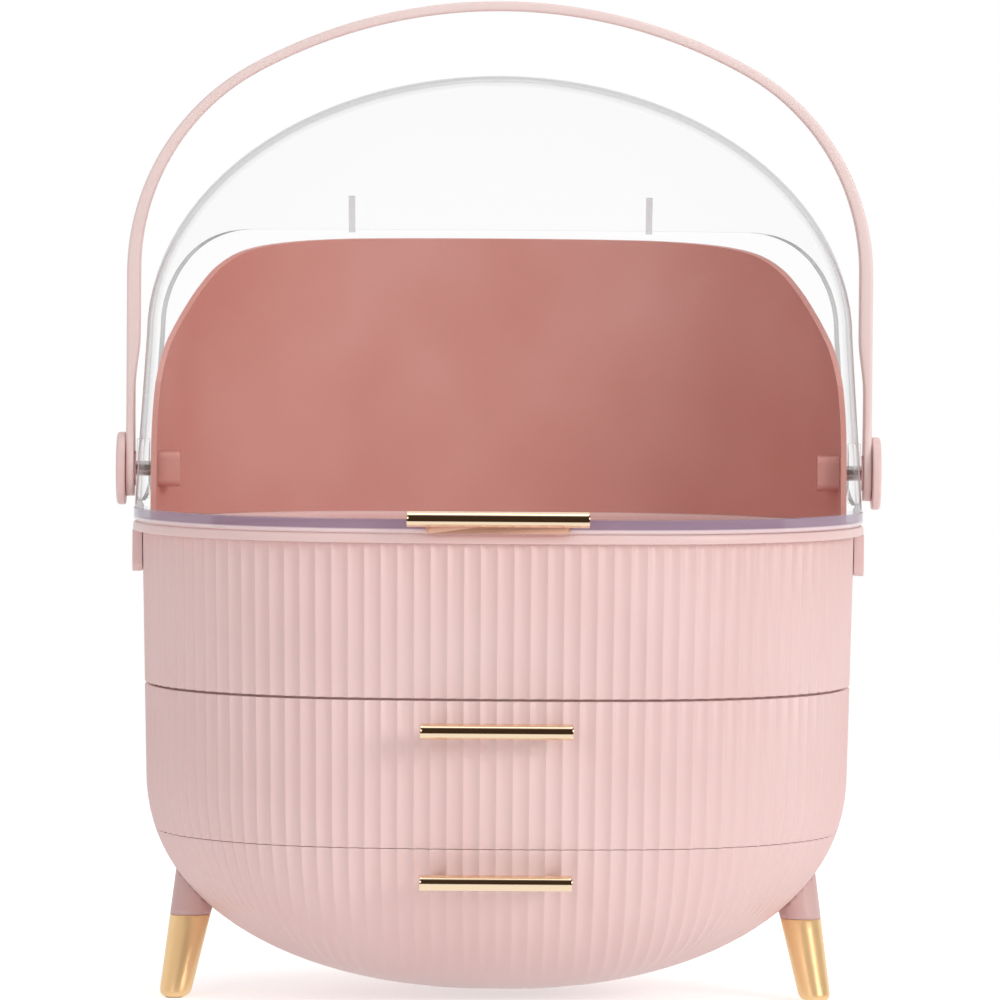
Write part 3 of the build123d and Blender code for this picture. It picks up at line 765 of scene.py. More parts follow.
@dataclass
class FlutedBody:
    """The pink body: top band with its tray, rear shell and the two drawer fronts."""

    finishes: Finishes
    flute_steps: tuple[float, ...] = (0.0, 0.06, 0.16, 0.28, 0.42, 0.58, 0.72, 0.84, 0.94)
    ridge_softness: float = 0.09
    edge_round: float = 0.4
    seam_round: float = 0.18
    groove_depth: float = 2.2
    bowl_rows: int = 26
    fade_low_z: float = 6.0
    fade_high_z: float = 20.0
    sharp_degrees: float = 44.0
    joint_gap: float = 0.02

    def way(self) -> np.ndarray:
        """Shares of the way round, closer together at the ridges."""
        turns = np.arange(SIZES.flute_count)[:, None] + np.array(self.flute_steps)
        return turns.ravel() / SIZES.flute_count

    def softness_at(self, z: float) -> float:
        """Rounding of an edge at height z, finer at the close lower seam."""
        return self.seam_round if abs(z - SIZES.lower_seam_z) < 1 else self.edge_round

    def outer_rows(self, low: float, high: float) -> list[Row]:
        """Rings up the fluted outside, with softened lower and upper edges."""
        foot, head = self.softness_at(low), self.softness_at(high)
        rows = [self._outer(z, 0.0) for z in SIZES.bowl_heights(low + foot, high - head, self.bowl_rows)]
        return self.soft_edge(low, foot)[:2] + rows + self.soft_edge(high, -head)[:2][::-1]

    def soft_edge(self, z: float, soft: float) -> list[Row]:
        """Three rings from an edge at height z inwards, upwards where soft is above zero."""
        steps = ((0.0, 1.0), (0.35, 0.25), (1.0, 0.0))
        return [self._outer(z + soft * rise, abs(soft) * inset) for rise, inset in steps]

    def _outer(self, z: float, inset: float) -> Row:
        """One ring of the outside at height z, with flutes that run out at the bowl's foot."""
        fade = (z - self.fade_low_z) / (self.fade_high_z - self.fade_low_z)
        return Row(SIZES.body_half_width(z), z, inset, min(max(fade, 0.02), 1.0))

    def inner_rows(self, low: float, high: float) -> list[Row]:
        """Rings down the smooth inside."""
        skin = SIZES.body_wall + SIZES.flute_depth
        rows = []
        for z in reversed(SIZES.bowl_heights(low, high, self.bowl_rows // 2)):
            half_width = SIZES.body_half_width(max(z - SIZES.bowl_floor_lift, SIZES.bowl_bottom_z))
            rows.append(Row(half_width, z, skin))
        return rows

    def flute(self, name: str, mesh: bpy.types.Mesh) -> bpy.types.Object:
        """Press the flutes into a swept skin and return it as an object."""
        piece = to_object(name, mesh)
        apply_tree(piece, self.tree, {
            "Flutes": float(SIZES.flute_count), "Depth": SIZES.flute_depth * MM,
            "Ridge Softness": self.ridge_softness, "Finish": self.finishes.pink})
        return piece

    def make_top_band(self) -> None:
        """Fluted band with the tray floor inside it."""
        low, high = SIZES.upper_seam_z + SIZES.seam_gap / 2, SIZES.tray_top_z - self.joint_gap
        rows = self.outer_rows(low, high) + self.inner_rows(low, high)
        piece = self.flute("upper_band_skin", sweep_oval("upper_band_skin", rows, self.way()))
        set_sharp(piece.data, self.sharp_degrees)
        publish(piece, Body.CASE, self.finishes.pink, ["upper_tray"])
        floor_low, floor_high = SIZES.tray_floor_z, SIZES.tray_floor_z + SIZES.tray_floor_thickness
        half_width = SIZES.body_half_width(floor_high)
        skin = SIZES.body_wall + SIZES.flute_depth - 0.3
        rows = [Row(half_width, floor_low, skin), Row(half_width, floor_high, skin)]
        columns = SIZES.flute_count * 2
        mesh = sweep_oval("tray_floor_plate", rows, even_way(columns), closed=False)
        for ring in (0, 1):
            cap_ring(mesh, ring, columns)
        seal(mesh)
        floor = to_object("tray_floor_plate", mesh)
        set_sharp(floor.data, self.sharp_degrees)
        publish(floor, Body.CASE, self.finishes.inner_pink_and_painted_bounce)

    def bowl_skin(self, name: str, low: float, high: float, groove: bool) -> bpy.types.Object:
        """Closed fluted skin with a floor when it starts at the bowl's bottom."""
        rows = self.outer_rows(low, high)
        if groove:
            rows = self._with_groove(rows)
        has_floor = low <= SIZES.bowl_bottom_z
        rows = rows + self.inner_rows(low + SIZES.bowl_floor_lift if has_floor else low, high)
        way = self.way()
        mesh = sweep_oval(name, rows, way, closed=not has_floor)
        if has_floor:
            for ring in (0, len(rows) - 1):
                cap_ring(mesh, ring, len(way))
        return self.flute(name, mesh)

    def _with_groove(self, rows: list[Row]) -> list[Row]:
        """Cut the seam's groove round the skin at the lower seam."""
        half = SIZES.lower_seam_gap / 2
        low, high = SIZES.lower_seam_z - half, SIZES.lower_seam_z + half
        clear = self.seam_round + 0.2
        width = SIZES.body_half_width(SIZES.lower_seam_z)
        return ([r for r in rows if r.z < low - clear]
                + self.soft_edge(low, -self.seam_round)[::-1]
                + [Row(width, low, self.groove_depth), Row(width, high, self.groove_depth)]
                + self.soft_edge(high, self.seam_round)
                + [r for r in rows if r.z > high + clear])

    def make_rear_shell(self) -> None:
        """Rear half of the two lower bands, in one piece with a seam groove."""
        piece = self.bowl_skin("rear_shell_skin", SIZES.bowl_bottom_z,
                               SIZES.upper_seam_z - SIZES.seam_gap / 2, groove=True)
        cut_with_plane(piece.data, (SIZES.split_y + SIZES.shift_y()) * MM, keep_front=False)
        set_sharp(piece.data, self.sharp_degrees)
        publish(piece, Body.CASE, self.finishes.pink, ["rear_shell"])

    def make_drawer_front(self, node: str, low: float, high: float, body: Body) -> None:
        """Front half of one band, which slides out with its drawer."""
        piece = self.bowl_skin(node + "_skin", low, high, groove=False)
        y = (SIZES.split_y - SIZES.seam_gap / 2 + SIZES.shift_y()) * MM
        cut_with_plane(piece.data, y, keep_front=True)
        set_sharp(piece.data, self.sharp_degrees)
        publish(piece, body, self.finishes.pink, [node])

    def build(self) -> None:
        """Make every fluted piece."""
        self.tree = flute_tree()
        self.make_top_band()
        self.make_rear_shell()
        half = SIZES.lower_seam_gap / 2
        self.make_drawer_front("upper_drawer_front", SIZES.lower_seam_z + half,
                               SIZES.upper_seam_z - SIZES.seam_gap / 2, Body.UPPER_DRAWER)
        self.make_drawer_front("lower_drawer_front", SIZES.bowl_bottom_z,
                               SIZES.lower_seam_z - half, Body.LOWER_DRAWER)


# ---- rim, back wall and lid ----


def rounded_profile(low: float, high: float, outer: float, inner: float, radius: float,
                    half_width: float, steps: int = 4) -> list[Row]:
    """Closed ring profile with rounded upper edges and slightly rounded lower ones.

    Args:
        low: Lower height.
        high: Upper height.
        outer: Inset of the outside.
        inner: Inset of the inside.
        radius: Radius of the upper edges.
        half_width: Half width that the insets are taken from.
        steps: Steps in each quarter round.

    Returns:
        Rings up the outside and down the inside.
    """
    rows = []
    small = radius * 0.4
    corners = [
        (outer, low, small, 180, 90), (outer, high, radius, 90, 0),
        (inner, high, radius, 0, -90), (inner, low, small, -90, -180)]
    for inset, z, r, start, end in corners:
        side = 1 if inset == outer else -1
        level = 1 if z == high else -1
        centre_inset = inset + side * r
        centre_z = z - level * r
        for i in range(steps + 1):
            angle = math.radians(start + (end - start) * i / steps)
            rows.append(Row(half_width, centre_z + r * math.cos(angle), centre_inset - r * math.sin(angle)))
    return rows


def side_view_cutter(name: str, outline: list[tuple[float, float]], reach: float = 200.0) -> bpy.types.Object:
    """Prism along X from an outline in the side view.

    Args:
        name: Name of the cutter.
        outline: Corner points as (y, z) in millimetres before the shift.
        reach: Half length along X.

    Returns:
        An object for a Boolean.
    """
    shift = SIZES.shift_y()
    count = len(outline)
    points = np.array([(x, y + shift, z) for x in (-reach, reach) for y, z in outline]) * MM
    faces = [tuple(range(count))[::-1], tuple(range(count, 2 * count))]
    for i in range(count):
        k = (i + 1) % count
        faces.append((i, k, count + k, count + i))
    return sealed(name, points, faces)


def boolean(piece: bpy.types.Object, cutter: bpy.types.Object, operation: str) -> None:
    """Cut or keep a piece with a cutter and drop the cutter."""
    modifier = piece.modifiers.new("cut", "BOOLEAN")
    modifier.operation = operation
    modifier.solver = "EXACT"
    modifier.object = cutter
    bake_modifiers(piece)
    bpy.data.objects.remove(cutter)


def arc_points(centre: tuple[float, float], radius: float, start: float, end: float,
               steps: int) -> list[tuple[float, float]]:
    """Points on an arc in the side view, angles in degrees from +Y towards +Z."""
    found = []
    for i in range(steps + 1):
        angle = math.radians(start + (end - start) * i / steps)
        found.append((centre[0] + radius * math.cos(angle), centre[1] + radius * math.sin(angle)))
    return found


def curve_points(corners: list[tuple[float, float]], steps: int) -> list[tuple[float, float]]:
    """Points of a smooth cubic Bezier curve with four control points."""
    p0, p1, p2, p3 = (np.array(c) for c in corners)
    found = []
    for i in range(steps + 1):
        t = i / steps
        point = (1 - t) ** 3 * p0 + 3 * (1 - t) ** 2 * t * p1 + 3 * (1 - t) * t ** 2 * p2 + t ** 3 * p3
        found.append((float(point[0]), float(point[1])))
    return found


def smooth_points(points: list[tuple[float, float]], steps: int) -> list[tuple[float, float]]:
    """Smooth curve through every given point."""
    spots = [np.array(p, float) for p in points]
    ways = [(b - a) / 2 for a, b in zip(spots[:1] + spots[:-1], spots[1:] + spots[-1:])]
    found = [points[0]]
    for i in range(len(spots) - 1):
        start, end = spots[i], spots[i + 1]
        found += curve_points([start, start + ways[i] / 3, end - ways[i + 1] / 3, end], steps)[1:]
    return found


@dataclass
class TopRim:
    """Plain rim collar on the fluted band."""

    finishes: Finishes
    radius: float = 1.3
    columns: int = 360

    def build(self) -> None:
        """Make the collar."""
        low, high = SIZES.tray_top_z, SIZES.tray_top_z + SIZES.collar_height
        rows = rounded_profile(low, high, 0.0, SIZES.collar_inset, self.radius, SIZES.rim_half_width)
        piece = to_object("rim_collar_skin", sweep_oval("rim_collar_skin", rows, even_way(self.columns)))
        set_sharp(piece.data, 35)
        publish(piece, Body.CASE, self.finishes.pink, ["rim_collar"])


@dataclass
class BackWall:
    """Pink wall inside the rear half of the lid, with a rounded free edge."""

    finishes: Finishes
    half_width: float = 138.3
    curve_z: float = 215.0
    curve_height: float = 190.0
    thickness: float = 2.2
    top_z: float = 299.0
    front_y: float = 0.0
    edge: tuple[tuple[float, float], ...] = (
        (4, 243), (14.5, 256), (23.5, 264), (31.5, 272), (39, 280.5), (47.5, 289), (60, 295.5), (82, 299.4),
        (113, 301))
    columns: int = 360
    rows: int = 26

    def width_at(self, z: float) -> float:
        """Half width of the wall at height z."""
        if z < self.curve_z:
            return self.half_width
        return self.half_width * math.sqrt(1 - ((z - self.curve_z) / self.curve_height) ** 2)

    def side_outline(self) -> list[tuple[float, float]]:
        """Part of the side view that the wall keeps."""
        base = SIZES.tray_top_z + SIZES.collar_height
        return [(self.front_y, base - 1)] + smooth_points(list(self.edge), 8) + [(self.edge[-1][0], base - 1)]

    def build(self) -> None:
        """Make the wall."""
        base = SIZES.tray_top_z + SIZES.collar_height
        heights = [base + (self.top_z + 6 - base) * i / self.rows for i in range(self.rows + 1)]
        rows = [Row(self.width_at(z), z) for z in heights]
        rows += [Row(self.width_at(z), z, self.thickness) for z in reversed(heights)]
        piece = to_object("back_wall_skin", sweep_oval("back_wall_skin", rows, even_way(self.columns)))
        boolean(piece, side_view_cutter("wall_cutter", self.side_outline()), "INTERSECT")
        set_sharp(piece.data, 35)
        publish(piece, Body.CASE, self.finishes.inner_pink_and_painted_bounce, ["back_wall"])


@dataclass
class ClearLid:
    """Clear dome, open behind, with a lip at its rim and a boss at each pin."""

    finishes: Finishes
    rim_half_width: float = 144.8
    shoulder_half_width: float = 140.0
    shoulder_z: float = 262.0
    dome_height: float = 103.3
    thickness: float = 1.8
    bottom_gap: float = 0.4
    lip_height: float = 5.4
    lip_depth: float = 1.2
    ear_radius: float = 13.0
    rear_gap: float = 6.2
    wall_top_z: float = 297.0
    boss_radius: float = 12.0
    boss_inner_x: float = 139.3
    boss_outer_x: float = 144.3
    opening_edge: float = 0.5
    cut_slot: int = 2
    columns: int = 320
    dome_rows: int = 26
    side_rows: int = 8

    def bottom_z(self) -> float:
        """Height of the lid's lower edge."""
        return SIZES.tray_top_z + SIZES.collar_height + self.bottom_gap

    def width_at(self, z: float) -> float:
        """Half width of the plain lower part at height z."""
        slope = (self.rim_half_width - self.shoulder_half_width) / (self.shoulder_z - self.bottom_z())
        return self.shoulder_half_width + slope * (self.shoulder_z - z)

    def dome(self, inset: float) -> list[Row]:
        """Rings of the dome from its shoulder to its top."""
        rows = []
        for i in range(self.dome_rows + 1):
            angle = math.pi / 2 * i / self.dome_rows
            z = self.shoulder_z + (self.dome_height - inset) * math.sin(angle)
            width = max(self.shoulder_half_width * math.cos(angle), 0.02)
            rows.append(Row(width, z, inset * math.cos(angle)))
        return rows

    def profile(self) -> tuple[list[Row], int]:
        """All rings of the shell and the number of the ring at the outer top."""
        low = self.bottom_z()
        t = self.thickness
        outer = [Row(self.rim_half_width, low, 0.5), Row(self.rim_half_width, low + 0.5)]
        outer += [Row(self.rim_half_width, low + self.lip_height - 0.4)]
        outer += [Row(self.width_at(low + self.lip_height), low + self.lip_height)]
        straight = self.shoulder_z - low - self.lip_height
        heights = [low + self.lip_height + straight * i / self.side_rows for i in range(1, self.side_rows)]
        outer += [Row(self.width_at(z), z) for z in heights] + self.dome(0.0)
        inner = self.dome(t)[::-1] + [Row(self.width_at(z), z, t) for z in heights[::-1]]
        inner += [Row(self.width_at(low + self.lip_height + 1), low + self.lip_height + 1, t)]
        inner += [Row(self.rim_half_width, low + self.lip_height, t + self.lip_depth)]
        inner += [Row(self.rim_half_width, low, t + self.lip_depth)]
        return outer + inner, len(outer) - 1

    def cut_outline(self) -> list[tuple[float, float]]:
        """Side view of what the lid leaves open behind and below its ears."""
        low = SIZES.tray_top_z - 5
        front_y = SIZES.pivot_y - self.ear_radius / 2
        ear_low_y = front_y + 2
        start = math.degrees(math.atan2(
            -math.sqrt(self.ear_radius ** 2 - (SIZES.pivot_y - ear_low_y) ** 2), ear_low_y - SIZES.pivot_y))
        ear = arc_points((SIZES.pivot_y, SIZES.pivot_z), self.ear_radius, start, 0, 14)
        edge_y, edge_z = SIZES.pivot_y + self.ear_radius, self.wall_top_z - 26
        top_z = self.wall_top_z + self.rear_gap
        bend = curve_points([(edge_y, edge_z), (edge_y + 2, edge_z + 18), (edge_y + 14, top_z - 1),
                             (edge_y + 34, top_z)], 18)
        back = SIZES.rim_half_depth + 20
        return [(front_y, low), (front_y, self.bottom_z() + 1)] + ear + bend + [(back, top_z), (back, low)]

    def build(self) -> None:
        """Make the shell, open it behind and add the bosses."""
        rows, top_ring = self.profile()
        mesh = sweep_oval("lid_shell_skin", rows, even_way(self.columns), gaps=[top_ring])
        for material in (self.finishes.clear, self.finishes.clear_inside, self.finishes.clear_cut):
            mesh.materials.append(material)
        inner = [i >= top_ring * self.columns for i in range(len(mesh.polygons))]
        mesh.polygons.foreach_set("material_index", inner)
        seal(mesh)
        close_small_holes(mesh)
        piece = to_object("lid_shell_skin", mesh)
        cutter = side_view_cutter("lid_cutter", self.cut_outline())
        cutter.data.polygons.foreach_set("material_index", [self.cut_slot] * len(cutter.data.polygons))
        boolean(piece, cutter, "DIFFERENCE")
        self.round_opening(piece.data)
        for side in (-1, 1):
            boolean(piece, self.boss(side), "UNION")
        set_sharp(piece.data, 30)
        publish(piece, Body.LID, self.finishes.clear, ["lid_shell"])

    def round_opening(self, mesh: bpy.types.Mesh) -> None:
        """Break the edges of the opening behind, which shows them as two fine grey lines."""
        with edited(mesh) as bm:
            edges = [e for e in bm.edges if len(e.link_faces) == 2
                     and sum(f.material_index == self.cut_slot for f in e.link_faces) == 1
                     and min(v.co.z for v in e.verts) > SIZES.pivot_z * MM]
            bmesh.ops.bevel(bm, geom=edges, offset=self.opening_edge * MM, segments=1, profile=0.5,
                            affect="EDGES", clamp_overlap=True, material=self.cut_slot)

    def boss(self, side: int) -> bpy.types.Object:
        """Round boss on the lid's ear that the pin passes through."""
        return disc_object("lid_boss", side, self.boss_inner_x, self.boss_outer_x, self.boss_radius, 0.5, 48)


def close_small_holes(mesh: bpy.types.Mesh) -> None:
    """Close the tiny openings at a dome's top."""
    with edited(mesh) as bm:
        bmesh.ops.holes_fill(bm, edges=[e for e in bm.edges if e.is_boundary], sides=0)
        bmesh.ops.recalc_face_normals(bm, faces=bm.faces)


def lathe(name: str, profile: list[tuple[float, float]], segments: int,
          place: Callable[[float, float, float], tuple[float, float, float]]) -> bpy.types.Object:
    """Turn a profile round an axis.

    Args:
        name: Name of the object.
        profile: Radius and distance along the axis; a radius of 0 closes an end.
        segments: Points round the axis.
        place: Turns (along, across, up) in millimetres into a point in metres.

    Returns:
        A closed object.
    """
    rings = []
    for radius, along in profile:
        angles = [2 * math.pi * i / segments for i in range(segments if radius > 0 else 1)]
        rings.append([place(along, radius * math.cos(a), radius * math.sin(a)) for a in angles])
    return skin_rings(name, rings)


def disc_object(name: str, side: int, inner_x: float, outer_x: float, radius: float, edge: float,
                segments: int) -> bpy.types.Object:
    """Round disc across the pins' axis, with a rounded outer edge."""
    shift = SIZES.shift_y()

    def place(along: float, across: float, up: float) -> tuple[float, float, float]:
        """Point of the disc in the frame."""
        return side * along * MM, (SIZES.pivot_y + shift + across) * MM, (SIZES.pivot_z + up) * MM

    profile = [(0.0, inner_x), (radius - edge * 0.4, inner_x), (radius, inner_x + edge * 0.4)]
    profile += arc_points((radius - edge, outer_x - edge), edge, 0, 90, 4)
    return lathe(name, profile + [(0.0, outer_x)], segments, place)


# ---- handle and its knobs ----


@dataclass
class HoopHandle:
    """Bent hoop with flat straps, round knobs and pins at its ends."""

    finishes: Finishes
    outer_x: float = 148.5
    inner_x: float = 145.3
    side_thickness: float = 5.2
    top_thickness: float = 3.8
    slim_z: float = 240.0
    full_z: float = 262.0
    width: float = 13.0
    end_radius: float = 11.0
    top_z: float = 395.0
    top_radius: float = 205.0
    corner_radius: float = 95.0
    knob_radius: float = 14.5
    edge_radius: float = 1.1
    side_steps: int = 46
    arch_steps: int = 60

    def arch(self, half: float, top: float, big: float, small: float, share: float) -> tuple[float, float]:
        """Point of the right half of an arch, from the side's upper end to the top.

        Args:
            half: Half width of the arch.
            top: Height of its top.
            big: Radius of the top arc.
            small: Radius of the corner arc.
            share: Share of the way from the side to the top.

        Returns:
            The point as (x, z).
        """
        centre_z = top - big
        side = half - small
        side_z = centre_z + math.sqrt((big - small) ** 2 - side ** 2)
        turn = math.atan2(side_z - centre_z, side)
        corner_length = small * turn
        length = corner_length + big * (math.pi / 2 - turn)
        along = share * length
        if along <= corner_length:
            angle = along / small
            return side + small * math.cos(angle), side_z + small * math.sin(angle)
        angle = turn + (along - corner_length) / big
        return big * math.cos(angle), centre_z + big * math.sin(angle)

    def stations(self) -> list[tuple[Vector, Vector, float]]:
        """Outer point, inner point and strap width at steps along the right half."""
        found = []
        outer = (self.outer_x, self.top_z, self.top_radius, self.corner_radius)
        thin = self.side_thickness
        inner = (self.outer_x - thin, self.top_z - self.top_thickness,
                 self.top_radius - self.top_thickness, self.corner_radius - thin)
        side_z, inner_side_z = self.arch(*outer, 0.0)[1], self.arch(*inner, 0.0)[1]
        low = SIZES.pivot_z - self.end_radius
        for i in range(self.side_steps):
            share = i / self.side_steps
            z = low + (side_z - low) * (1 - math.cos(math.pi / 2 * share)) ** 0.85
            inner_z = low + (z - low) * (inner_side_z - low) / (side_z - low)
            inside = Vector((self.inner_at(inner_z), inner_z))
            found.append((Vector((self.outer_x, z)), inside, self.width_at(z)))
        for i in range(self.arch_steps + 1):
            share = i / self.arch_steps
            out = Vector(self.arch(*outer, share))
            inside = Vector(self.arch(*inner, share))
            found.append((out, inside, self.width))
        return found

    def inner_at(self, z: float) -> float:
        """Inner face of the strap at height z."""
        thick = self.outer_x - self.side_thickness
        if z <= self.slim_z:
            return self.inner_x
        share = min((z - self.slim_z) / (self.full_z - self.slim_z), 1.0)
        smooth = share * share * (3 - 2 * share)
        return self.inner_x + (thick - self.inner_x) * smooth

    def width_at(self, z: float) -> float:
        """Width of the strap, which swells to a round end at the pin."""
        drop = z - SIZES.pivot_z
        round_end = math.sqrt(max(self.end_radius ** 2 - drop ** 2, 0.0))
        if drop <= 0:
            return 2 * max(round_end, 0.6)
        blend = max(0.0, 1 - drop / (1.9 * self.end_radius))
        swell = (self.end_radius - self.width / 2) * (blend * blend * (3 - 2 * blend))
        return self.width + 2 * swell

    def section(self, out: Vector, inside: Vector, width: float) -> list[tuple[float, float, float]]:
        """Rounded rectangle across the strap at one station, in millimetres."""
        half = width / 2
        middle = (out + inside) / 2
        across = (out - inside) / 2
        thickness = across.length
        direction = across.normalized()
        radius = min(self.edge_radius, thickness * 0.9, half * 0.9)
        deep, wide = thickness - radius, half - radius
        points = []
        for t, y, start in ((deep, wide, 0), (-deep, wide, 90), (-deep, -wide, 180), (deep, -wide, 270)):
            for t_round, y_round in arc_points((t, y), radius, start, start + 90, 3):
                spot = middle + direction * t_round
                points.append((spot.x, y_round, spot.y))
        return points

    def build(self) -> None:
        """Make the hoop and the knobs."""
        depth = SIZES.pivot_y + SIZES.shift_y()
        right = [[(x * MM, (y + depth) * MM, z * MM) for x, y, z in self.section(*station)]
                 for station in self.stations()]
        left = [[(-x, y, z) for x, y, z in ring] for ring in reversed(right[:-1])]
        hoop = skin_rings("handle_hoop_skin", right + left)
        set_sharp(hoop.data, 50)
        publish(hoop, Body.HANDLE, self.finishes.frame_pink, ["handle_hoop"])
        self.make_knobs()

    def make_knobs(self) -> None:
        """Round caps over the ends of the straps."""
        for side, label in ((1, "right"), (-1, "left")):
            low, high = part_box(f"knob_{label}")
            inner = min(abs(low.x), abs(high.x)) / MM
            outer = max(abs(low.x), abs(high.x)) / MM
            knob = disc_object(f"knob_{label}_skin", side, inner, outer, self.knob_radius, 1.2, 72)
            set_sharp(knob.data, 35)
            publish(knob, Body.CASE, self.finishes.pink, [f"knob_{label}"])


# ---- pulls and legs ----


@dataclass
class BarPull:
    """Polished bar with a full round front, on two posts or against the lid's block."""

    node: str
    body: Body
    finishes: Finishes
    bar_depth: float = 5.6
    post_radius: float = 2.6
    post_offset: float = 22.0
    back_radius: float = 1.4
    squareness: float = 2.3
    cap: float = 1.3
    end_trim: float = 0.9
    foot_trim: float = 0.5
    rise: float = 0.4

    def profile(self, front: float, low: float, high: float) -> list[tuple[float, float]]:
        """Side view of the bar: a swollen half round in front and a flat back."""
        half, middle = (high - low) / 2, (high + low) / 2
        reach = self.bar_depth - self.back_radius
        back = front + self.bar_depth
        points = []
        for i in range(25):
            angle = math.pi * (i / 24 - 0.5)
            share = abs(math.cos(angle)) ** (2 / self.squareness)
            rise = math.copysign(abs(math.sin(angle)) ** (2 / self.squareness), angle)
            points.append((front + reach * (1 - share), middle + half * rise))
        r = self.back_radius
        points += arc_points((back - r, high - r), r, 90, 0, 5)[1:]
        points += arc_points((back - r, low + r), r, 0, -90, 5)[:-1]
        return points

    def build(self) -> None:
        """Make the bar and its posts from the node's own box."""
        low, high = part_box(self.node)
        half = high.x / MM - self.end_trim
        front, foot = low.y / MM, low.z / MM + self.foot_trim + self.rise
        top = high.z / MM + self.rise
        outline = self.profile(front, foot, top)
        cy, cz = front + self.bar_depth / 2, (foot + top) / 2
        stations = [(-half, 0.5), (-half + 0.15, 0.15), (-half + 0.5, 0.0), (-half + self.cap, 0.0)]
        stations += [(-x, shrink) for x, shrink in reversed(stations)]
        rings = []
        for x, shrink in stations:
            ky = 1 - shrink / (self.bar_depth / 2)
            kz = 1 - shrink / ((top - foot) / 2)
            rings.append([(x * MM, (cy + (y - cy) * ky) * MM, (cz + (z - cz) * kz) * MM) for y, z in outline])
        piece = skin_rings(self.node + "_skin", rings)
        if high.y / MM > front + self.bar_depth + 1:
            for x in (-self.post_offset, self.post_offset):
                boolean(piece, self.post(x, cy, high.y / MM, cz), "UNION")
        set_sharp(piece.data, 32)
        publish(piece, self.body, self.finishes.gold, [self.node])

    def post(self, x: float, start: float, end: float, z: float) -> bpy.types.Object:
        """Round post from the bar back to the drawer's front."""

        def place(along: float, across: float, up: float) -> tuple[float, float, float]:
            """Point of the post in the frame."""
            return (x + across) * MM, along * MM, (z + up) * MM

        profile = [(0.0, start), (self.post_radius, start), (self.post_radius, end), (0.0, end)]
        return lathe("post", profile, 32, place)


@dataclass
class LidPullBlock:
    """Rose-gold block that carries the bar on the lid's rim, seen only below the bar."""

    finishes: Finishes
    node: str = "lid_pull_base"
    foot_drop: float = 1.5
    top_drop: float = 2.2
    end_trim: float = 1.6

    def build(self) -> None:
        """Make the block from the node's mesh, a little lower and narrower."""
        piece = smooth_copy(self.node, 35)
        low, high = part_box(self.node)
        height = high.z - low.z
        for vertex in piece.data.vertices:
            share = (vertex.co.z - low.z) / height
            vertex.co.z -= (self.foot_drop + (self.top_drop - self.foot_drop) * share) * MM
            vertex.co.x *= 1 - self.end_trim * MM / high.x
        publish(piece, Body.LID, self.finishes.rose_gold, [self.node])


@dataclass
class SplayedLeg:
    """Tapered pink leg with a satin gold ferrule, leaning outwards."""

    label: str
    finishes: Finishes
    foot_z: float = 0.3
    foot_round: float = 2.8
    segments: int = 64
    inside_end: float = 0.0002

    def build(self) -> None:
        """Dress the leg and make its ferrule from the nodes' boxes."""
        leg = smooth_copy(f"leg_{self.label}", 40)
        # The legs' deeper pink is painted shade from the body above.
        publish(leg, Body.CASE, self.finishes.leg_pink_painted_shade, [f"leg_{self.label}"])
        low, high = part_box(f"ferrule_{self.label}")
        top, foot = self.ring_of(high.z - self.inside_end), self.ring_of(low.z + self.inside_end)
        rings = []
        for share, shrink in self.profile((self.foot_z * MM - low.z) / (high.z - low.z)):
            centre = foot[0].lerp(top[0], share)
            rx, ry = (foot[i] + (top[i] - foot[i]) * share - shrink * MM for i in (1, 2))
            z = low.z + (high.z - low.z) * share
            angles = [2 * math.pi * i / self.segments for i in range(self.segments)]
            rings.append([(centre.x + rx * math.cos(a), centre.y + ry * math.sin(a), z) for a in angles])
        cup = skin_rings(f"ferrule_{self.label}_skin", rings)
        set_sharp(cup.data, 45)
        publish(cup, Body.CASE, self.finishes.satin_gold, [f"ferrule_{self.label}"])

    def profile(self, start: float) -> list[tuple[float, float]]:
        """Share of the height and how far the wall is drawn in there, from the foot up."""
        rows = []
        for i in range(5):
            angle = math.radians(90 * i / 4)
            rows.append((start + 0.1 * (1 - math.cos(angle)), self.foot_round * (1 - math.sin(angle))))
        bend = rows[-1][0]
        for i in range(1, 8):
            rows.append((bend + (0.98 - bend) * i / 8, 0.0))
        for i in range(5):
            angle = math.radians(90 * i / 4)
            rows.append((0.985 + 0.015 * math.sin(angle), 0.45 * (1 - math.cos(angle))))
        rows.append((1.0, 1.0))
        rows.append((0.97, 1.05))
        return rows

    def ring_of(self, z: float) -> tuple[Vector, float, float]:
        """Centre and half widths of the ferrule's outside near height z."""
        mesh = bpy.data.objects[f"ferrule_{self.label}"].data
        points = [v.co for v in mesh.vertices if abs(v.co.z - z) < 3 * self.inside_end]
        xs, ys = [p.x for p in points], [p.y for p in points]
        centre = Vector(((min(xs) + max(xs)) / 2, (min(ys) + max(ys)) / 2, z))
        return centre, (max(xs) - min(xs)) / 2, (max(ys) - min(ys)) / 2


def smooth_copy(node: str, degrees: float) -> bpy.types.Object:
    """Copy a CAD node's mesh, merge its loose triangles and shade it smooth.

    Args:
        node: Name of the CAD node.
        degrees: Edges sharper than this stay crisp.

    Returns:
        The copy, as a new object at the origin.
    """
    mesh = bpy.data.objects[node].data.copy()
    mesh.name = node + "_skin"
    mesh.materials.clear()
    with edited(mesh) as bm:
        bmesh.ops.remove_doubles(bm, verts=bm.verts, dist=2e-6)
    set_sharp(mesh, degrees)
    return to_object(node + "_skin", mesh)


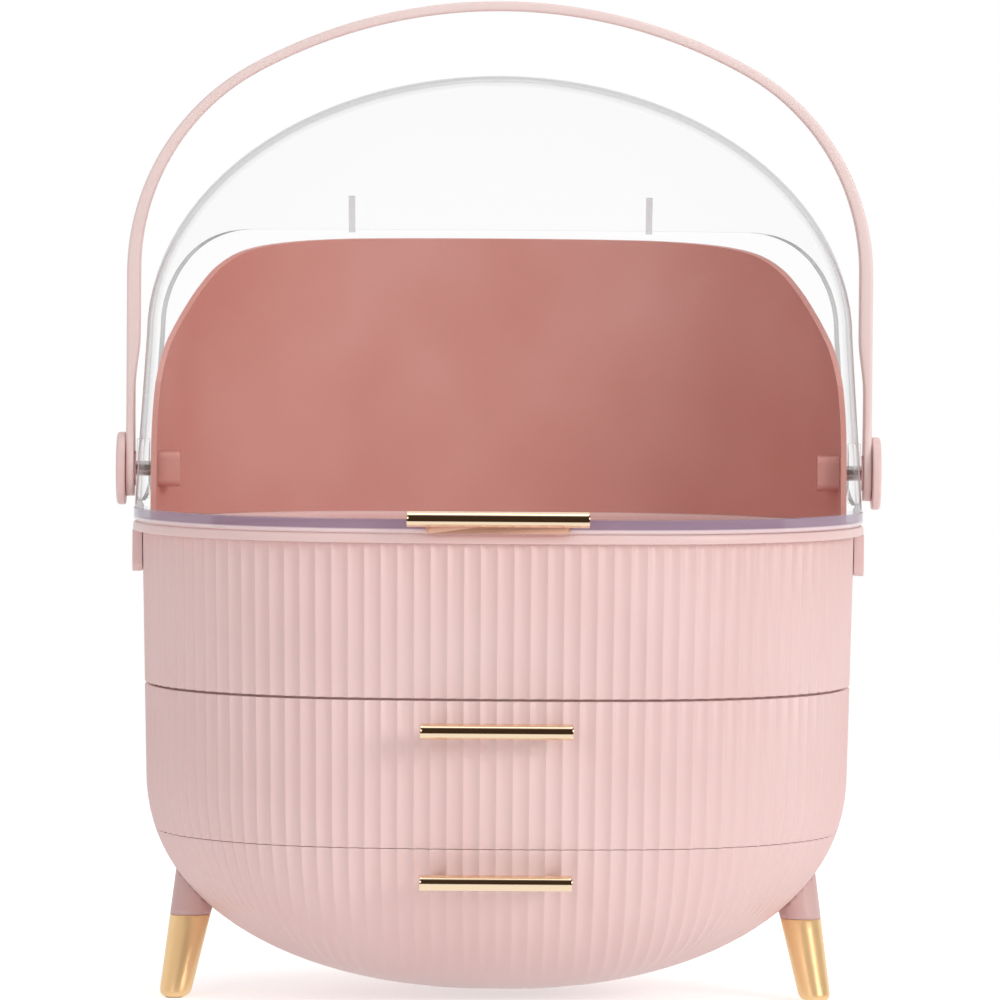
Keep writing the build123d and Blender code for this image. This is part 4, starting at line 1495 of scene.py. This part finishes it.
@dataclass
class PlainParts:
    """CAD pieces whose shape is right and that only get a better finish."""

    finishes: Finishes
    frame: dict
    pad_radius: float = 3.4
    pad_height: float = 0.9
    rear_pads_y: float = 40.0

    def dress(self, names: Iterable[str], material: bpy.types.Material) -> None:
        """Give a finish to CAD nodes that stay as they are."""
        for name in names:
            for spot in self.frame["nodes"][name].material_slots:
                spot.material = material
            LOG.info("%s keeps its CAD shape with %s", name, material.name)

    def build(self) -> None:
        """Dress every CAD node that is still shown."""
        self.dress(["deck_plate", "deck_posts", "drawer_shelf", "upper_runners", "lower_runners",
                    "upper_stops", "lower_stops", "side_tab_right", "side_tab_left",
                    "pivot_washers", "upper_drawer_box", "lower_drawer_box"], self.finishes.pink)
        self.dress(["pivot_block_right", "pivot_block_left"], self.finishes.inner_pink_and_painted_bounce)
        self.dress(["upper_pull_screws", "lower_pull_screws", "pivot_pin_right", "pivot_pin_left"],
                   self.finishes.steel)
        self.dress(["lid_ribs"], self.finishes.clear_rib)
        self.make_pads()

    def make_pads(self) -> None:
        """Four small pads, set into the rounded feet at the CAD pads' centres."""
        points = [vertex.co for vertex in bpy.data.objects["foot_pads"].data.vertices]
        radius, depth = self.pad_radius * MM, self.pad_height * MM
        mesh = bpy.data.meshes.new("foot_pads_skin")
        with edited(mesh) as bm:
            for side, rear in itertools.product((-1, 1), (False, True)):
                pad = [p for p in points if p.x * side > 0 and (p.y > self.rear_pads_y * MM) == rear]
                x, y = ((min(p[i] for p in pad) + max(p[i] for p in pad)) / 2 for i in (0, 1))
                bmesh.ops.create_cone(bm, cap_ends=True, segments=40, radius1=radius, radius2=radius,
                                      depth=depth, matrix=Matrix.Translation((x, y, depth / 2)))
        seal(mesh)
        pads = to_object("foot_pads_skin", mesh)
        set_sharp(pads.data, 40)
        publish(pads, Body.CASE, self.finishes.rubber, ["foot_pads"])


# ---- studio ----


@dataclass(frozen=True)
class Lamp:
    """Large soft square lamp that faces the case: place and side in metres, power in watts."""

    name: str
    place: tuple[float, float, float]
    side: float
    power: float
    colour: str

    def build(self) -> None:
        """Hang the lamp."""
        data = bpy.data.lights.new(self.name, "AREA")
        data.size = self.side
        data.energy = self.power
        data.color = linear(self.colour)[:3]
        lamp = bpy.data.objects.new(self.name, data)
        lamp.location = self.place
        aim = Vector((0, 0, 0.18)) - Vector(self.place)
        lamp.rotation_euler = aim.to_track_quat("-Z", "Y").to_euler()
        bpy.context.scene.collection.objects.link(lamp)


@dataclass
class Studio:
    """Pale floor, soft lamps, white surroundings and the photograph's camera."""

    camera_height: float = 337.0
    camera_distance: float = 3185.0
    frame_width: float = 397.3
    aim_z: float = 197.0
    aim_x: float = 0.6
    roll_degrees: float = 0.42
    sensor: float = 36.0
    ambient: float = 0.64
    floor_glow: float = 0.13
    floor_shown: float = 0.5
    left_share: float = 0.35
    dim: str = "#3A2C20"
    soft: str = "#D8CFC8"
    lamps: tuple[Lamp, ...] = (
        Lamp("key_lamp", (2.2, -2.0, 1.2), 1.2, 26.5, "#FFFDFB"),
        Lamp("fill_lamp", (-1.3, -2.6, 0.9), 1.2, 8.0, "#FFFDFD"),
        Lamp("top_lamp", (0.0, -0.2, 2.4), 1.6, 9.0, "#FFFFFF"))

    def build(self) -> None:
        """Make the floor, world, lamps and camera."""
        bpy.context.scene.view_settings.view_transform = "Standard"
        self.make_floor()
        self.make_world()
        for lamp in self.lamps:
            lamp.build()
        self.make_camera()

    @staticmethod
    def by_ray(tree: bpy.types.NodeTree, light: bpy.types.Node, seen: bpy.types.Node,
               mirrored: bpy.types.Node) -> bpy.types.Node:
        """Choose a shader by the kind of ray that meets it.

        Args:
            tree: Node tree that gets the nodes.
            light: What lights the case.
            seen: What the camera sees, also through the clear lid.
            mirrored: What metal and gloss mirror.

        Returns:
            The mixed shader.
        """
        ray = add_node(tree, "ShaderNodeLightPath")
        direct = add_node(tree, "ShaderNodeMath", {
            0: ray.outputs["Is Camera Ray"], 1: ray.outputs["Is Transmission Ray"]}, operation="MAXIMUM")
        first = add_node(tree, "ShaderNodeMixShader", {
            0: direct.outputs[0], 1: light.outputs[0], 2: seen.outputs[0]})
        return add_node(tree, "ShaderNodeMixShader", {
            0: ray.outputs["Is Glossy Ray"], 1: first.outputs[0], 2: mirrored.outputs[0]})

    def make_floor(self) -> None:
        """Large pale floor that keeps the object's shadow and fades to white far off."""
        mesh = mesh_from("floor", [(-8, -8, 0), (8, -8, 0), (8, 8, 0), (-8, 8, 0)], [(0, 1, 2, 3)])
        floor = to_object("floor", mesh)
        material, tree, place = new_material("floor_paint")
        paint = add_node(tree, "ShaderNodeBsdfDiffuse", {"Color": linear("#F4F4F4")})
        glow, shown, white = (
            add_node(tree, "ShaderNodeEmission", {"Color": linear("#FFFFFF"), "Strength": strength})
            for strength in (self.floor_glow, self.floor_shown, 1.0))
        near, lit = (
            add_node(tree, "ShaderNodeAddShader", {0: paint.outputs[0], 1: light.outputs[0]})
            for light in (glow, shown))
        reach = add_node(tree, "ShaderNodeVectorMath", {0: place}, operation="LENGTH")
        far = add_node(tree, "ShaderNodeMapRange", {
            "Value": reach.outputs["Value"], "From Min": 0.25, "From Max": 1.6},
            interpolation_type="SMOOTHSTEP")
        seen = add_node(tree, "ShaderNodeMixShader", {
            0: far.outputs["Result"], 1: lit.outputs[0], 2: white.outputs[0]})
        # Metal mirrors a white table, whose front edge lies before the case, and a dim room beyond.
        across = add_node(tree, "ShaderNodeSeparateXYZ", {0: place})
        edge = add_node(tree, "ShaderNodeMapRange", {
            "Value": across.outputs["Y"], "From Min": -0.5, "From Max": -0.38})
        room = add_node(tree, "ShaderNodeEmission", {"Color": linear(self.dim), "Strength": 1.0})
        mirrored = add_node(tree, "ShaderNodeMixShader", {
            0: edge.outputs["Result"], 1: room.outputs[0], 2: white.outputs[0]})
        shader = self.by_ray(tree, near, seen, mirrored)
        add_node(tree, "ShaderNodeOutputMaterial", {"Surface": shader.outputs[0]})
        mesh.materials.append(material)

    def make_world(self) -> None:
        """White surroundings when seen, a studio with a dim front when mirrored, else soft light."""
        world = bpy.data.worlds.new("studio_white")
        bpy.context.scene.world = world
        world.use_nodes = True
        tree = world.node_tree
        tree.nodes.clear()
        way = add_node(tree, "ShaderNodeTexCoord").outputs["Generated"]
        across = add_node(tree, "ShaderNodeSeparateXYZ", {0: way})
        side = add_node(tree, "ShaderNodeMapRange", {
            "Value": across.outputs["X"], "From Min": -0.95, "From Max": -0.3,
            "To Min": self.ambient * self.left_share, "To Max": self.ambient})
        white = linear("#FFFFFF")
        light = add_node(tree, "ShaderNodeBackground", {"Color": white, "Strength": side.outputs["Result"]})
        seen = add_node(tree, "ShaderNodeBackground", {"Color": white, "Strength": 1.0})
        mirrored = add_node(tree, "ShaderNodeBackground", {
            "Color": self.studio_tone(tree, across), "Strength": 1.0})
        shader = self.by_ray(tree, light, seen, mirrored)
        add_node(tree, "ShaderNodeOutputWorld", {"Surface": shader.outputs[0]})

    def studio_tone(self, tree: bpy.types.NodeTree, across: bpy.types.Node) -> bpy.types.NodeSocket:
        """Tone of the mirrored studio: white behind and above, dim in front and at the right."""
        ahead = add_node(tree, "ShaderNodeMath", {0: across.outputs["Y"], 1: -1.0}, operation="MULTIPLY")
        turn = add_node(tree, "ShaderNodeMath", {0: across.outputs["X"], 1: ahead.outputs[0]},
                        operation="ARCTAN2")
        share = add_node(tree, "ShaderNodeMapRange", {
            "Value": turn.outputs[0], "From Min": -math.pi, "From Max": math.pi})
        around = add_node(tree, "ShaderNodeValToRGB", {"Fac": share.outputs["Result"]})
        white, soft, dim = linear("#FFFFFF"), linear(self.soft), linear(self.dim)
        fill_ramp(around, [(0.22, white), (0.3, soft), (0.37, soft), (0.42, dim), (0.8, dim), (0.86, white)])
        high = add_node(tree, "ShaderNodeValToRGB", {"Fac": across.outputs["Z"]})
        tones = ((0.72, 0.0), (0.93, 0.3), (0.985, 0.7))
        fill_ramp(high, [(spot, (tone, tone, tone, 1.0)) for spot, tone in tones])
        mix = add_node(tree, "ShaderNodeMix", {"Factor": high.outputs["Color"]}, data_type="RGBA")
        tree.links.new(around.outputs["Color"], mix.inputs[6])
        mix.inputs[7].default_value = white
        return mix.outputs[2]

    def make_camera(self) -> None:
        """Camera at the photograph's height, distance, framing and slight roll."""
        shift = SIZES.shift_y()
        data = bpy.data.cameras.new("photo_camera")
        data.sensor_width = self.sensor
        place = Vector((self.aim_x, shift - self.camera_distance, self.camera_height)) * MM
        aim = Vector((self.aim_x, shift, self.aim_z)) * MM
        data.lens = self.sensor * (aim - place).length / (self.frame_width * MM)
        camera = bpy.data.objects.new("photo_camera", data)
        camera.location = place
        turn = (aim - place).to_track_quat("-Z", "Y").to_matrix()
        roll = Matrix.Rotation(math.radians(self.roll_degrees), 3, "Z")
        camera.rotation_euler = (turn @ roll).to_euler()
        bpy.context.scene.collection.objects.link(camera)
        bpy.context.scene.camera = camera


def main() -> None:
    """Build every piece of the case and the studio around it."""
    logging.basicConfig(level=logging.INFO, format="%(name)s: %(message)s")
    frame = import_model()
    finishes = Finishes()
    FlutedBody(finishes).build()
    TopRim(finishes).build()
    BackWall(finishes).build()
    ClearLid(finishes).build()
    HoopHandle(finishes).build()
    BarPull("lid_pull", Body.LID, finishes, end_trim=1.2, foot_trim=-0.7, rise=0.0).build()
    BarPull("upper_drawer_pull", Body.UPPER_DRAWER, finishes).build()
    BarPull("lower_drawer_pull", Body.LOWER_DRAWER, finishes).build()
    LidPullBlock(finishes).build()
    for label in ("side_right", "side_left", "rear_right", "rear_left"):
        SplayedLeg(label, finishes).build()
    PlainParts(finishes, frame).build()
    Studio().build()


if __name__ == "__main__":
    main()
